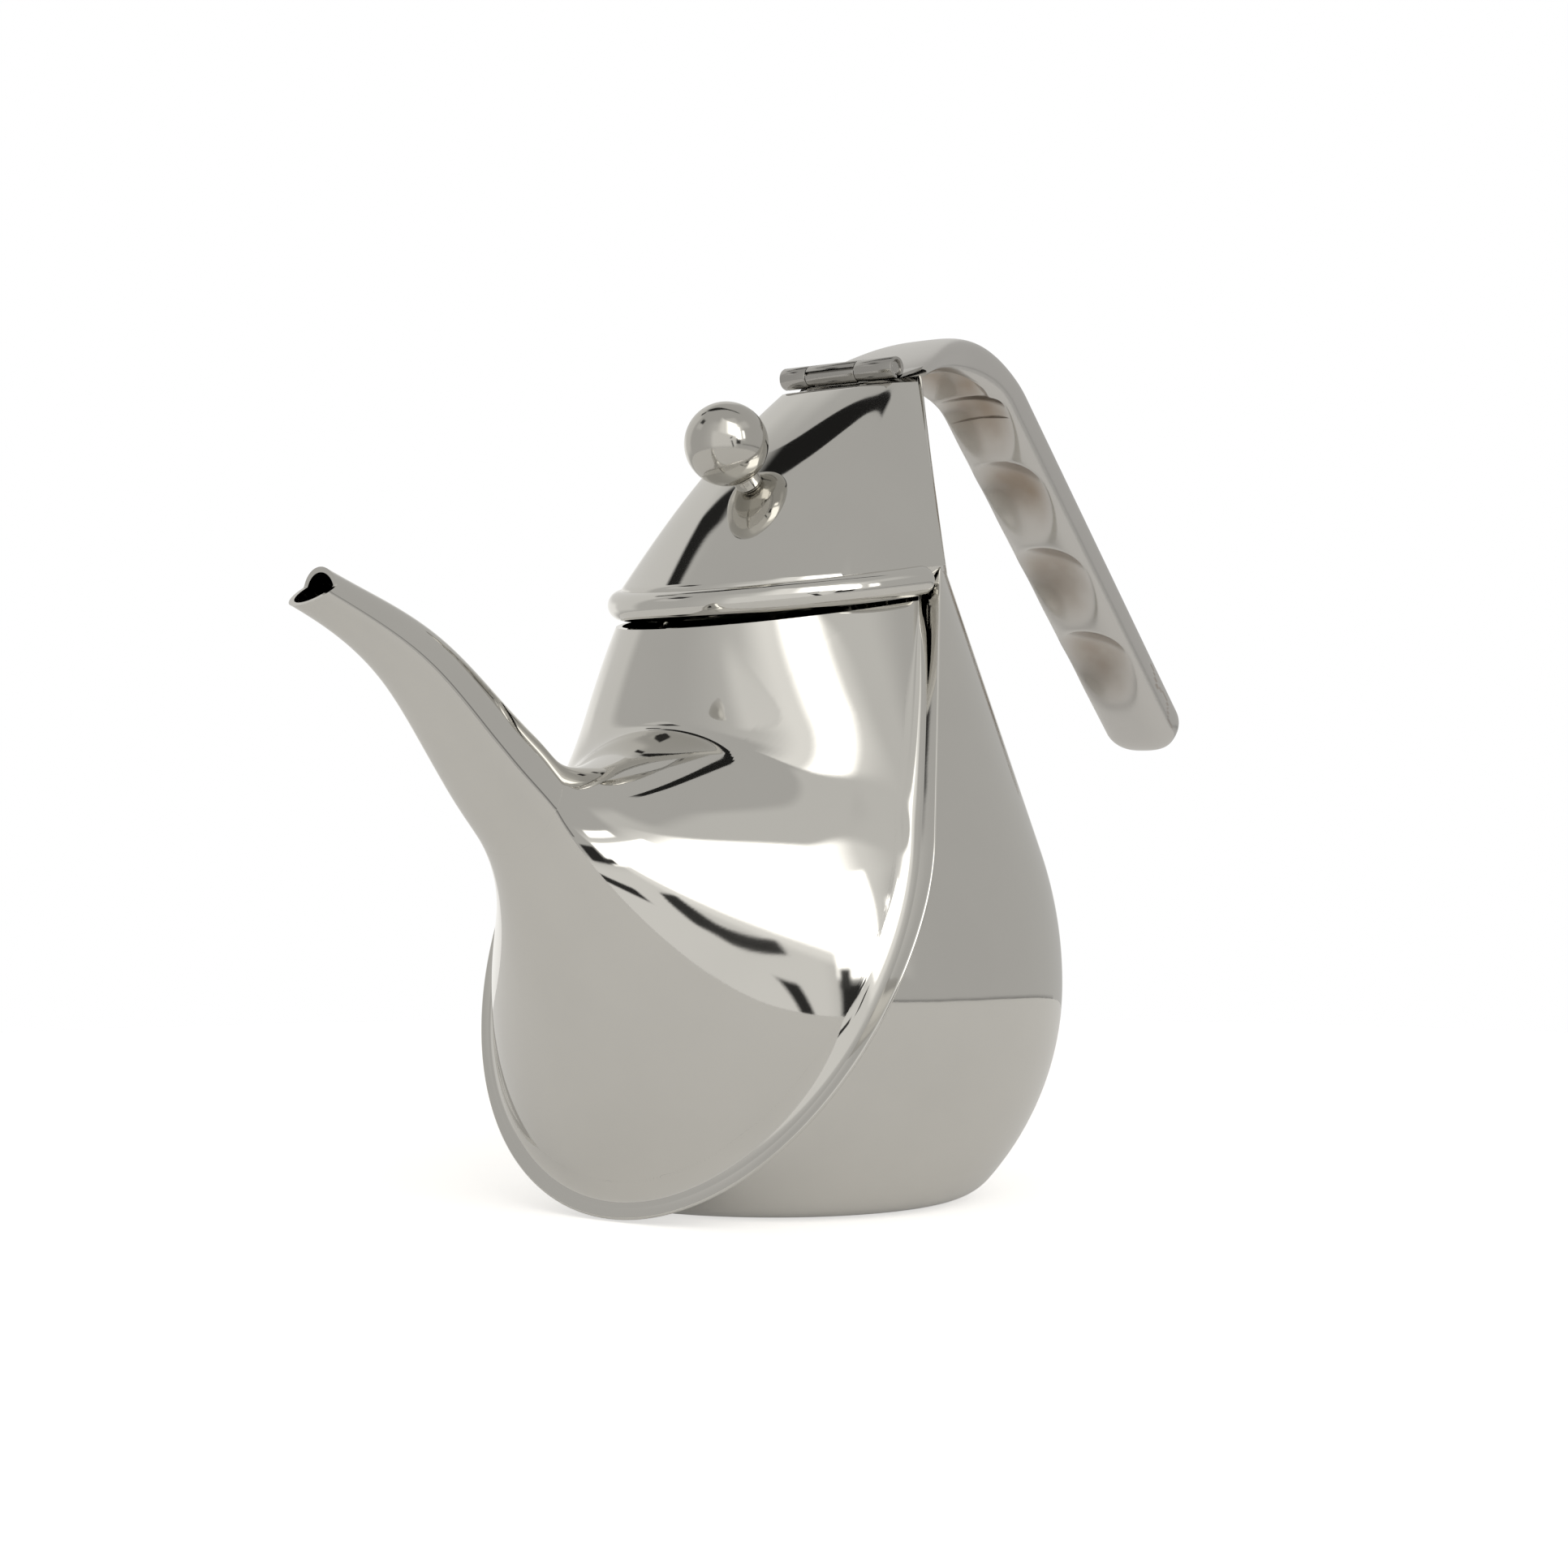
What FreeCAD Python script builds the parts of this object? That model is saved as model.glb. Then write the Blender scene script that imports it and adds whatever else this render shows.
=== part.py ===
import FreeCAD, Part
import math
import os
import re
import Sketcher

# Polished steel kettle with a swept spout, a half-cone lid and a finger-grip handle.
# Millimetres. Origin at the centre of the base, +Z up, +X toward the spout.

V = FreeCAD.Vector
doc = FreeCAD.newDocument("kettle")

DIMENSIONS = [
    ("gauge", 0.9),
    ("base_corner", 12.0),
    ("belly_height", 43.5),
    ("belly_radius", 58.6),
    ("belly_low_arc", 60.0),
    ("belly_high_arc", 83.5),
    ("shoulder_angle", 18.6),
    ("rear_top", 126.7),
    ("seam_foot", 49.7),
    ("seam_tilt", 24.75),
    ("seam_half_width", 55.0),
    ("seam_low_half", 65.0),
    ("seam_side_arc", 57.0),
    ("seam_side_angle", 15.7),
    ("flange_width", 4.5),
    ("rim_slope", 7.2),
    ("rim_rear_height", 127.3),
    ("rim_gap", 0.6),
    ("lid_half_width", 36.4),
    ("lid_reach", 38.75),
    ("lid_low_reach", 32.1),
    ("lid_high_reach", 28.0),
    ("lid_top_height", 167.8),
    ("lid_top_half_width", 16.0),
    ("lid_top_squareness", 0.88),
    ("lid_top_reach", 12.0),
    ("bead_radius", 3.0),
    ("bead_drop", 2.75),
    ("bead_slope", 9.3),
    ("bead_half_width", 35.3),
    ("bead_reach", 38.2),
    ("root_reach", 56.5),
    ("root_height", 62.0),
    ("spout_root", 10.35),
    ("spout_tip", 4.3),
    ("neck_front", 33.8),
    ("neck_front_at", 122.0),
    ("blend", 13.0),
    ("knob_radius", 8.5),
    ("knob_x", 15.4),
    ("knob_z", 152.0),
    ("stem_radius", 2.8),
    ("screw_radius", 1.5),
    ("hinge_x", -22.0),
    ("hinge_z", 170.3),
    ("pin_radius", 1.5),
    ("pin_clearance", 0.05),
    ("knuckle_radius", 2.35),
    ("knuckle_end", 14.8),
    ("knuckle_low", -7.9),
    ("knuckle_high", 4.9),
    ("grip_width", 19.0),
    ("grip_depth", 12.6),
    ("grip_taper", 0.94),
    ("grip_corner", 5.2),
    ("grip_length", 92.4),
    ("grip_x", -75.2),
    ("grip_z", 167.9),
    ("grip_angle", 46.75),
    ("finger_first", -1.0),
    ("finger_second", 21.1),
    ("finger_pitch", 25.3),
    ("finger_radius", 17.0),
    ("finger_reach", 27.7),
    ("finger_depth", 4.2),
]

sheet = doc.addObject("Spreadsheet::Sheet", "Dimensions")
for row, (name, value) in enumerate(DIMENSIONS, 1):
    sheet.set("A%d" % row, name)
    sheet.set("B%d" % row, repr(value))
    sheet.setAlias("B%d" % row, name)
doc.recompute()
D = {name: float(sheet.get(name)) for name, _ in DIMENSIONS}
GAUGE = D["gauge"]


def bind(obj, **sizes):
    """Tie properties to sizes written in the names of the sheet."""
    for prop, text in sizes.items():
        obj.setExpression(prop, re.sub("[a-z_]+", r"Dimensions.\g<0>", text))
    return obj


def add(kind, name, **props):
    obj = doc.addObject(kind, name)
    for prop, value in props.items():
        setattr(obj, prop, value)
    return obj


def shaped(name, shape):
    obj = doc.addObject("Part::Feature", name)
    obj.Shape = shape
    return obj


def cut(name, base, *tools):
    for i, tool in enumerate(tools):
        last = i == len(tools) - 1
        base = add("Part::Cut", name if last else "%s_step%d" % (name, i), Base=base, Tool=tool)
    return base


# The seam plane leans back. seam(a, b, c) is the point a to the side, b up the plane, c in front.
TILT = math.radians(D["seam_tilt"])
SEAM_UP = V(-math.sin(TILT), 0, math.cos(TILT))
SEAM_OUT = V(math.cos(TILT), 0, math.sin(TILT))
SEAM_FOOT = V(D["seam_foot"], 0, 0)
SEAM_PLACE = FreeCAD.Placement(SEAM_FOOT, FreeCAD.Rotation(V(0, 1, 0), SEAM_UP, SEAM_OUT, "ZXY"))


def seam(a, b, c):
    return SEAM_FOOT + V(0, a, 0) + SEAM_UP * b + SEAM_OUT * c


def seam_at_height(height):
    return seam(0, height / SEAM_UP.z, 0)


SIDE = math.radians(D["seam_side_angle"])
SIDE_RISE = D["seam_side_arc"] * math.sin(SIDE)
SIDE_START = D["seam_half_width"] - D["seam_side_arc"] * (1 - math.cos(SIDE))


def outline(b):
    """Half width of the seam flange at b up the seam plane."""
    up = b - D["seam_low_half"]
    if up < 0:
        return D["seam_half_width"] * math.sqrt(max(0.0, 1 - (up / D["seam_low_half"]) ** 2))
    if up < SIDE_RISE:
        arc = D["seam_side_arc"]
        return D["seam_half_width"] - arc + math.sqrt(arc * arc - up * up)
    return SIDE_START - (up - SIDE_RISE) * math.tan(SIDE)


# The rim plane rises to the rear. It meets the seam plane at the rim's rear corners.
RIM_REAR = seam_at_height(D["rim_rear_height"])
RIM_ANGLE = math.radians(D["rim_slope"])
RIM_FORWARD = V(math.cos(RIM_ANGLE), 0, -math.sin(RIM_ANGLE))
RIM_UP = V(math.sin(RIM_ANGLE), 0, math.cos(RIM_ANGLE))

# The bead slopes a little more than the lid's rim.
BEAD_ANGLE = math.radians(D["bead_slope"])
BEAD_FORWARD = V(math.cos(BEAD_ANGLE), 0, -math.sin(BEAD_ANGLE))
BEAD_UP = V(math.sin(BEAD_ANGLE), 0, math.cos(BEAD_ANGLE))
BEAD_REAR = RIM_REAR - SEAM_UP * D["bead_drop"]


def half_space(name, point, normal):
    """A large block on the side of a plane that its normal points to."""
    size = 400
    block = add("Part::Box", name, Length=size, Width=size, Height=size)
    turn = FreeCAD.Rotation(V(0, 0, 1), normal)
    block.Placement = FreeCAD.Placement(point - turn.multVec(V(size / 2, size / 2, 0)), turn)
    return block


def smooth(s):
    """Eases from 0 to 1."""
    s = min(1.0, max(0.0, s))
    return s * s * (3 - 2 * s)


def bezier(values, s):
    a, b, c, d = values
    r = 1 - s
    return a * r ** 3 + 3 * b * r * r * s + 3 * c * r * s * s + d * s ** 3


# Rear shell: a turned bowl, hollowed from its rim and cut off along the seam plane.

SHOULDER_TURN = math.radians(D["shoulder_angle"])
SHOULDER_X = D["belly_radius"] - D["belly_high_arc"] * (1 - math.cos(SHOULDER_TURN))
SHOULDER_Z = D["belly_height"] + D["belly_high_arc"] * math.sin(SHOULDER_TURN)
REAR_TOP_RADIUS = SHOULDER_X - (D["rear_top"] - SHOULDER_Z) * math.tan(SHOULDER_TURN)

BASE, CORNER, LOW_BELLY, HIGH_BELLY, SHOULDER, RIM, AXIS = range(7)
START, END, CENTRE = 1, 2, 3
ORIGIN = (-1, 1)


def rear_arc(centre, radius, start, stop):
    circle = Part.Circle(centre, V(0, 0, 1), radius)
    return Part.ArcOfCircle(circle, math.radians(start), math.radians(stop))


def draw_rear(sketch):
    """Half outline of the bowl: base, corner, two belly arcs, straight shoulder, rim and axis."""
    corner, low, high = D["base_corner"], D["belly_low_arc"], D["belly_high_arc"]
    dip = math.degrees(math.asin((D["belly_height"] - corner) / (low - corner)))
    low_centre = V(D["belly_radius"] - low, D["belly_height"], 0)
    high_centre = V(D["belly_radius"] - high, D["belly_height"], 0)
    base_end = low_centre.x + (low - corner) * math.cos(math.radians(dip))
    shoulder, rim = V(SHOULDER_X, SHOULDER_Z, 0), V(REAR_TOP_RADIUS, D["rear_top"], 0)
    pieces = [
        Part.LineSegment(V(0, 0, 0), V(base_end, 0, 0)),
        rear_arc(V(base_end, corner, 0), corner, -90, -dip),
        rear_arc(low_centre, low, -dip, 0),
        rear_arc(high_centre, high, 0, D["shoulder_angle"]),
        Part.LineSegment(shoulder, rim),
        Part.LineSegment(rim, V(0, rim.y, 0)),
        Part.LineSegment(V(0, rim.y, 0), V(0, 0, 0)),
    ]
    sketch.addGeometry(pieces, False)
    for first in (BASE, CORNER, LOW_BELLY, HIGH_BELLY):
        sketch.addConstraint(Sketcher.Constraint("Tangent", first, END, first + 1, START))
    for first, second in ((SHOULDER, RIM), (RIM, AXIS), (AXIS, BASE)):
        sketch.addConstraint(Sketcher.Constraint("Coincident", first, END, second, START))
    sketch.addConstraint(Sketcher.Constraint("Coincident", BASE, START, *ORIGIN))
    sketch.addConstraint(Sketcher.Constraint("Horizontal", BASE))
    sketch.addConstraint(Sketcher.Constraint("Horizontal", RIM))
    sketch.addConstraint(Sketcher.Constraint("Vertical", AXIS))
    sketch.addConstraint(Sketcher.Constraint("Horizontal", LOW_BELLY, CENTRE, LOW_BELLY, END))
    sizes = [
        ("Radius", (CORNER,), "base_corner"),
        ("Radius", (LOW_BELLY,), "belly_low_arc"),
        ("Radius", (HIGH_BELLY,), "belly_high_arc"),
        ("DistanceX", ORIGIN + (LOW_BELLY, END), "belly_radius"),
        ("DistanceY", ORIGIN + (LOW_BELLY, END), "belly_height"),
        ("DistanceY", ORIGIN + (AXIS, START), "rear_top"),
    ]
    for kind, where, cell in sizes:
        index = sketch.addConstraint(Sketcher.Constraint(kind, *where, D[cell]))
        sketch.setExpression("Constraints[%d]" % index, "Dimensions." + cell)
    index = sketch.addConstraint(Sketcher.Constraint("Angle", SHOULDER, math.pi / 2 + SHOULDER_TURN))
    sketch.setExpression("Constraints[%d]" % index, "90 deg + Dimensions.shoulder_angle * 1 deg")


def rear_shell():
    body = doc.addObject("PartDesign::Body", "rear_body")
    sketch = body.newObject("Sketcher::SketchObject", "rear_sketch")
    sketch.AttachmentSupport = [(next(o for o in body.Origin.OriginFeatures if o.Role == "XZ_Plane"), "")]
    sketch.MapMode = "FlatFace"
    draw_rear(sketch)
    turned = body.newObject("PartDesign::Revolution", "rear_turned")
    turned.Profile = sketch
    turned.ReferenceAxis = (sketch, ["V_Axis"])
    turned.Angle = 360
    body.Tip = turned
    doc.recompute()
    faces = turned.Shape.Faces
    top = max(range(len(faces)), key=lambda i: faces[i].BoundBox.ZMin)
    hollow = body.newObject("PartDesign::Thickness", "rear_hollow")
    hollow.Base = (turned, ["Face%d" % (top + 1)])
    hollow.Reversed = True
    bind(hollow, Value="gauge")
    body.Tip = hollow
    return cut("rear_shell", body, half_space("rear_front", SEAM_FOOT, SEAM_OUT))


# Front shell: a trumpet that runs from the seam into the spout, blended into the neck that holds the lid.

ROOT = D["root_reach"]
ROOT_RISE = 0.349


def trumpet_centre(c):
    """How far up the seam plane the middle of the trumpet is, c in front of the plane."""
    s = min(c / ROOT, 1.0)
    return D["root_height"] - ROOT_RISE * (ROOT * s * s * (1 - s) - max(c - ROOT, 0.0))


def trumpet_distance(a, b, c):
    s = min(c / ROOT, 1.0)
    taper = 0.11 * max(c - ROOT, 0.0)
    wide = bezier((D["seam_half_width"] - D["flange_width"], 40.7, 12.4, 10.3), s) - taper
    tall = bezier((D["root_height"] - 3.6, 45.0, 13.0, 10.6), s) - taper
    return (math.hypot(a / wide, (b - trumpet_centre(c)) / tall) - 1) * min(wide, tall)


NECK_BEHIND = 25.0
NECK_FOOT = 52.0


def neck_distance(a, b, c):
    """The neck is an oval cone whose middle lies behind the seam plane."""
    front = NECK_BEHIND + max(3.0, D["neck_front"] - (b - D["neck_front_at"]) ** 2 / 125.0)
    side = max(3.0, outline(max(b, 66.0)) - D["flange_width"] - 0.006 * max(0.0, 90.0 - b) ** 2)
    wide = side / math.sqrt(1 - (NECK_BEHIND / front) ** 2)
    oval = (math.hypot(a / wide, (c + NECK_BEHIND) / front) - 1) * min(wide, front)
    return max(oval, NECK_FOOT - b)


def front_distance(a, b, c):
    """Below zero inside the front shell. Neck and trumpet blend least at the flange and at the crotch."""
    trumpet = trumpet_distance(a, b, c)
    neck = neck_distance(a, b, c)
    width = 0.5 + D["blend"] * smooth(c / 24.0) * (1 - 0.75 * smooth((c - 10.0) / 22.0))
    share = min(1.0, max(0.0, 0.5 + 0.5 * (neck - trumpet) / width))
    return neck + (trumpet - neck) * share - width * share * (1 - share)


EYE = (0.0, 64.0, 6.0)
NECK_TOP = BEAD_REAR - BEAD_UP * (D["bead_radius"] + D["rim_gap"])


def front_point(turn, lean, inset):
    """The skin seen from inside: turn goes round the spout, lean tips away from it."""
    way = (math.cos(turn) * math.sin(lean), math.sin(turn) * math.sin(lean), math.cos(lean))
    near, far = 0.0, min(130.0, (ROOT + 8 - EYE[2]) / max(way[2], 0.01))
    for _ in range(40):
        reach = (near + far) / 2
        if front_distance(*[e + w * reach for e, w in zip(EYE, way)]) < -inset:
            near = reach
        else:
            far = reach
    return seam(*[e + w * near for e, w in zip(EYE, way)])


def lean_where(turn, inset, passed):
    """The lean at which the skin first passes a limit, going away from the spout."""
    low, high = 0.0, math.radians(110)
    for _ in range(30):
        lean = (low + high) / 2
        if passed(front_point(turn, lean, inset)):
            high = lean
        else:
            low = lean
    return low


def within_root(point):
    return (point - SEAM_FOOT).dot(SEAM_OUT) < ROOT + 3


def past_edges(point):
    return (point - SEAM_FOOT).dot(SEAM_OUT) < -3 or (point - NECK_TOP).dot(BEAD_UP) > 6


def front_skin(inset):
    """The skin as one smooth surface, closed round the spout."""
    turns, rings = 72, 30
    poles = []
    for i in range(turns):
        turn = 2 * math.pi * i / turns
        first = lean_where(turn, inset, within_root)
        last = lean_where(turn, inset, past_edges)
        spread = [(j / (rings - 1.0)) ** 1.15 for j in range(rings)]
        poles.append([front_point(turn, first + (last - first) * s, inset) for s in spread])
    knots_round = list(range(turns + 1))
    knots_along = list(range(rings - 2))
    surface = Part.BSplineSurface()
    mults_round, mults_along = [1] * (turns + 1), [4] + [1] * (rings - 4) + [4]
    surface.buildFromPolesMultsKnots(
        poles, mults_round, mults_along, knots_round, knots_along, True, False, 3, 3
    )
    return surface.toShape()


def closed_between(outer, inner):
    """The solid between two skins, closed by a strip at each end."""
    faces = [outer, inner]
    for end in (0, -1):
        edges = []
        for skin in (outer, inner):
            loops = sorted((e for e in skin.Edges if e.isClosed()), key=lambda e: e.CenterOfMass.x)
            edges.append(loops[end])
        faces.append(Part.makeRuledSurface(*edges))
    shell = Part.makeShell([face for shape in faces for face in shape.Faces])
    shell.sewShape()
    solid = Part.makeSolid(shell)
    return solid if solid.Volume > 0 else solid.reversed()


FLANGE_LIP = 2.5


def flange_wire(inset):
    """Outline of the flange in the seam plane, up past the rim, moved in by inset."""
    low = D["seam_low_half"]
    half = D["seam_half_width"] - inset
    arc = D["seam_side_arc"] - inset
    top = 160.0 - inset
    middle = V(half - arc, low, 0)
    turned = middle + V(math.cos(SIDE), math.sin(SIDE), 0) * arc
    bend = middle + V(math.cos(SIDE / 2), math.sin(SIDE / 2), 0) * arc
    end = V(outline(top) - inset / math.cos(SIDE), top, 0)
    right = [V(half, low, 0), bend, turned, end]
    left = [V(-p.x, p.y, 0) for p in right]
    bowl = Part.Ellipse(V(0, inset, 0), right[0], V(0, low, 0))
    edges = [
        Part.ArcOfEllipse(bowl, -math.pi / 2, math.pi / 2).toShape(),
        Part.Arc(*right[:3]).toShape(),
        Part.makeLine(turned, end),
        Part.makeLine(end, left[3]),
        Part.makeLine(left[3], left[2]),
        Part.Arc(*reversed(left[:3])).toShape(),
    ]
    return Part.Wire(Part.__sortEdges__(edges))


def front_shell():
    skin = shaped("front_skin", closed_between(front_skin(0), front_skin(GAUGE)))
    skin = cut(
        "front_wall",
        skin,
        half_space("front_behind", SEAM_FOOT, SEAM_OUT * -1),
        half_space("front_above", NECK_TOP, BEAD_UP),
        half_space("front_beyond", seam(0, 0, ROOT), SEAM_OUT),
    )
    wires = [flange_wire(0), flange_wire(D["flange_width"] + FLANGE_LIP)]
    ring = Part.makeFace(wires, "Part::FaceMakerBullseye")
    plate = shaped("front_plate", ring.extrude(V(0, 0, GAUGE)))
    plate.Placement = SEAM_PLACE
    top = RIM_REAR - V(0, 0, D["rim_gap"])
    flange = cut("front_flange", plate, half_space("flange_above", top, V(0, 0, 1)))
    return add("Part::Fuse", "front_shell", Base=skin, Tool=flange)


# Spout: round sections along an S-shaped path, opened at the end as a beak.

SPOUT = [
    # in front of the seam plane, up the plane, share of the root's extra radius that is left
    (D["root_reach"], D["root_height"], 1.0),
    (73.0, 67.6, 0.71),
    (91.0, 73.2, 0.38),
    (111.0, 74.3, 0.05),
    (127.0, 73.35, 0.0),
]


def spout_tube(name, inset):
    rings = []
    for i, (c, b, share) in enumerate(SPOUT):
        before, after = SPOUT[max(i - 1, 0)], SPOUT[min(i + 1, len(SPOUT) - 1)]
        way = SEAM_OUT * (after[0] - before[0]) + SEAM_UP * (after[1] - before[1]) if i else SEAM_OUT
        ring = add("Part::Circle", "%s_ring%d" % (name, i))
        bind(ring, Radius="spout_tip + (spout_root - spout_tip) * %s - %s" % (share, inset))
        turn = FreeCAD.Rotation(V(0, 1, 0), SEAM_UP, way, "ZXY")
        ring.Placement = FreeCAD.Placement(seam(0, b, c), turn)
        rings.append(ring)
    return add("Part::Loft", name, Sections=rings, Solid=True, Ruled=False)


def spout():
    outside = spout_tube("spout_outside", "0")
    inside = spout_tube("spout_inside", "gauge")
    tube = cut("spout_tube", outside, inside)
    beak = [(124.6, 140), (124.2, 117.2), (131.2, 112.8), (131.2, 90), (170, 90), (170, 140)]
    wire = Part.makePolygon([V(x, 0, z) for x, z in beak + beak[:1]])
    mouth = shaped("spout_mouth", Part.Face(wire).extrude(V(0, 60, 0)))
    mouth.Placement.Base = V(0, -30, 0)
    return cut("spout", tube, mouth)


# Lid and back wall: sheets ruled from a straight edge at the hinge to a curved edge at the rim.


def half_oval(centre, ahead, half_width, reach, power=2.0):
    """A half oval that reaches ahead of a line across the kettle. More power is squarer."""
    points = []
    count = 16
    for i in range(count + 1):
        turn = math.pi * i / count
        side = math.copysign(abs(math.cos(turn)) ** (2 / power), math.cos(turn))
        forward = ahead * (reach * abs(math.sin(turn)) ** (2 / power))
        points.append(centre + V(0, half_width * side, 0) + forward)
    curve = Part.BSplineCurve()
    curve.interpolate(points)
    return Part.Wire([curve.toShape(), Part.makeLine(points[-1], points[0])])


LID_TOP = seam_at_height(D["lid_top_height"])


def lid_reach(share):
    """How far the lid reaches ahead of its rear edges, from the rim (0) to the hinge (1)."""
    return bezier((D["lid_reach"], D["lid_low_reach"], D["lid_high_reach"], D["lid_top_reach"]), share)


def lid_cone(name, inset, behind):
    """The lid's outside, or its inside when inset, with the open side moved back by behind."""
    sections = []
    for i in range(4):
        share = i / 3.0
        half = D["lid_half_width"] + (D["lid_top_half_width"] - D["lid_half_width"]) * share
        centre = RIM_REAR + (LID_TOP - RIM_REAR) * share - RIM_UP * (inset * (0.3 + 0.7 * share))
        start = centre - RIM_FORWARD * behind
        power = 2 + D["lid_top_squareness"] * share
        wire = half_oval(start, RIM_FORWARD, half - inset, lid_reach(share) + behind - inset, power)
        sections.append(shaped("%s_%d" % (name, i), wire))
    return add("Part::Loft", name, Sections=sections, Solid=True, Ruled=False)


SKIRT_CLEAR = 1.3


def lid_skirt(name, inset, behind):
    """Below its rim the lid turns down behind the bead, clear of the flange."""
    low = BEAD_REAR - BEAD_UP * inset - BEAD_FORWARD * behind
    high = RIM_REAR - RIM_FORWARD * behind
    halves = D["bead_half_width"] - inset, D["lid_half_width"] - inset
    reaches = D["bead_reach"] + behind - inset, D["lid_reach"] + behind - inset
    sections = [
        shaped(name + "_low", half_oval(low, BEAD_FORWARD, halves[0], reaches[0])),
        shaped(name + "_high", half_oval(high, RIM_FORWARD, halves[1], reaches[1])),
    ]
    loft = add("Part::Loft", name + "_whole", Sections=sections, Solid=True, Ruled=True)
    near_flange = half_space(name + "_rear", SEAM_FOOT + SEAM_OUT * SKIRT_CLEAR, SEAM_OUT * -1)
    return cut(name, loft, near_flange) if not inset else loft


LID_LINE = (LID_TOP + RIM_FORWARD * lid_reach(1)) - (RIM_REAR + RIM_FORWARD * lid_reach(0))
KNOB_WAY = V(LID_LINE.z, 0, -LID_LINE.x).normalize()
KNOB = V(D["knob_x"], 0, D["knob_z"])


def along_knob(obj, start):
    obj.Placement = FreeCAD.Placement(KNOB + KNOB_WAY * start, FreeCAD.Rotation(V(0, 0, 1), KNOB_WAY))
    return obj


def bead_rod():
    """Round rod along the rim, stopped short of the flange with a dome at each end."""
    radius = D["bead_radius"]
    path = half_oval(BEAD_REAR, BEAD_FORWARD, D["bead_half_width"], D["bead_reach"])
    arc = path.Edges[0]
    first, last = arc.FirstParameter, arc.LastParameter
    short = (last - first) * 0.045
    edge = arc.Curve.toShape(first + short, last - short)
    ends = [(edge.valueAt(t), edge.tangentAt(t)) for t in (edge.FirstParameter, edge.LastParameter)]
    ring = Part.Wire([Part.makeCircle(radius, *ends[0])])
    rod = shaped("bead_rod", Part.Wire([edge]).makePipeShell([ring], True, True))
    for i, (point, way) in enumerate(ends):
        dome = Part.makeSphere(radius, point, way if i else way * -1, 0, 90, 360)
        rod = add("Part::Fuse", "bead_domed%d" % i, Base=rod, Tool=shaped("bead_dome%d" % i, dome))
    return rod


def lid_parts():
    outside = lid_cone("lid_outside", 0, 0)
    inside = lid_cone("lid_inside", GAUGE, 4.0)
    skirt = lid_skirt("skirt_outside", 0, 0)
    skirt_inside = lid_skirt("skirt_inside", GAUGE, 4.0)
    hole = bind(add("Part::Cylinder", "lid_hole", Height=30), Radius="screw_radius + 0.1")
    along_knob(hole, -30)
    whole = add("Part::Fuse", "lid_whole", Base=outside, Tool=skirt)
    lid = cut("lid_shell", whole, inside, skirt_inside, hole)
    bead = cut("lid_bead", bead_rod(), whole)

    ball = bind(add("Part::Sphere", "ball_round", Radius=1), Radius="knob_radius")
    ball.Placement.Base = KNOB
    flat_cut = half_space("ball_flat", KNOB - KNOB_WAY * (D["knob_radius"] - 0.5), KNOB_WAY * -1)
    thread = bind(add("Part::Cylinder", "ball_thread", Height=8), Radius="screw_radius")
    along_knob(thread, -8.5)
    knob = cut("knob_ball", ball, flat_cut, thread)

    collar = bind(add("Part::Cylinder", "stem_round", Height=12), Radius="stem_radius")
    along_knob(collar, 0.5 - D["knob_radius"] - 12)
    bore = bind(add("Part::Cylinder", "stem_bore", Height=30), Radius="screw_radius + 0.1")
    along_knob(bore, -30)
    stem = cut("knob_stem", collar, bore, outside)

    shank = bind(add("Part::Cylinder", "screw_shank", Height=10.0), Radius="screw_radius - 0.05")
    along_knob(shank, -11.5)
    head = bind(add("Part::Cylinder", "screw_head", Height=1.8), Radius="screw_radius * 2")
    along_knob(head, -12.2)
    screw = cut("knob_screw", add("Part::Fuse", "screw_whole", Base=shank, Tool=head), lid)
    return [lid, bead, knob, stem, screw]


def back_wall(bracket):
    """A half cone behind the seam plane: round at the rear shell's rim, flat under the tongue."""
    solids = []
    for name, inset in (("outside", 0), ("inside", GAUGE)):
        cut_x = seam_at_height(D["rear_top"]).x
        radius = REAR_TOP_RADIUS - inset
        half = math.degrees(math.acos(-cut_x / radius))
        rim = Part.makeCircle(radius, V(0, 0, D["rear_top"]), V(0, 0, 1), 180 - half, 180 + half)
        ends = [rim.valueAt(rim.FirstParameter), rim.valueAt(rim.LastParameter)]
        low = Part.Wire([rim, Part.makeLine(ends[1], ends[0])])
        crown = seam_at_height(D["lid_top_height"] + 1.6)
        high = half_oval(crown, V(-1, 0, 0), D["lid_top_half_width"] - inset, 3.0 - inset)
        sections = [shaped("wall_%s_low" % name, low), shaped("wall_%s_high" % name, high)]
        solids.append(add("Part::Loft", "wall_" + name, Sections=sections, Solid=True, Ruled=True))
    front = half_space("wall_front", SEAM_FOOT - SEAM_OUT * 0.4, SEAM_OUT)
    return cut("back_wall", solids[0], solids[1], front, bracket)


# Hinge: rolled knuckles on a pin.

HINGE = V(D["hinge_x"], 0, D["hinge_z"])


def across(obj, low):
    """Lay a cylinder along the hinge, starting low to the side of the middle."""
    obj.Placement = FreeCAD.Placement(HINGE + V(0, low, 0), FreeCAD.Rotation(V(0, 0, 1), V(0, 1, 0)))
    return obj


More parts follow.
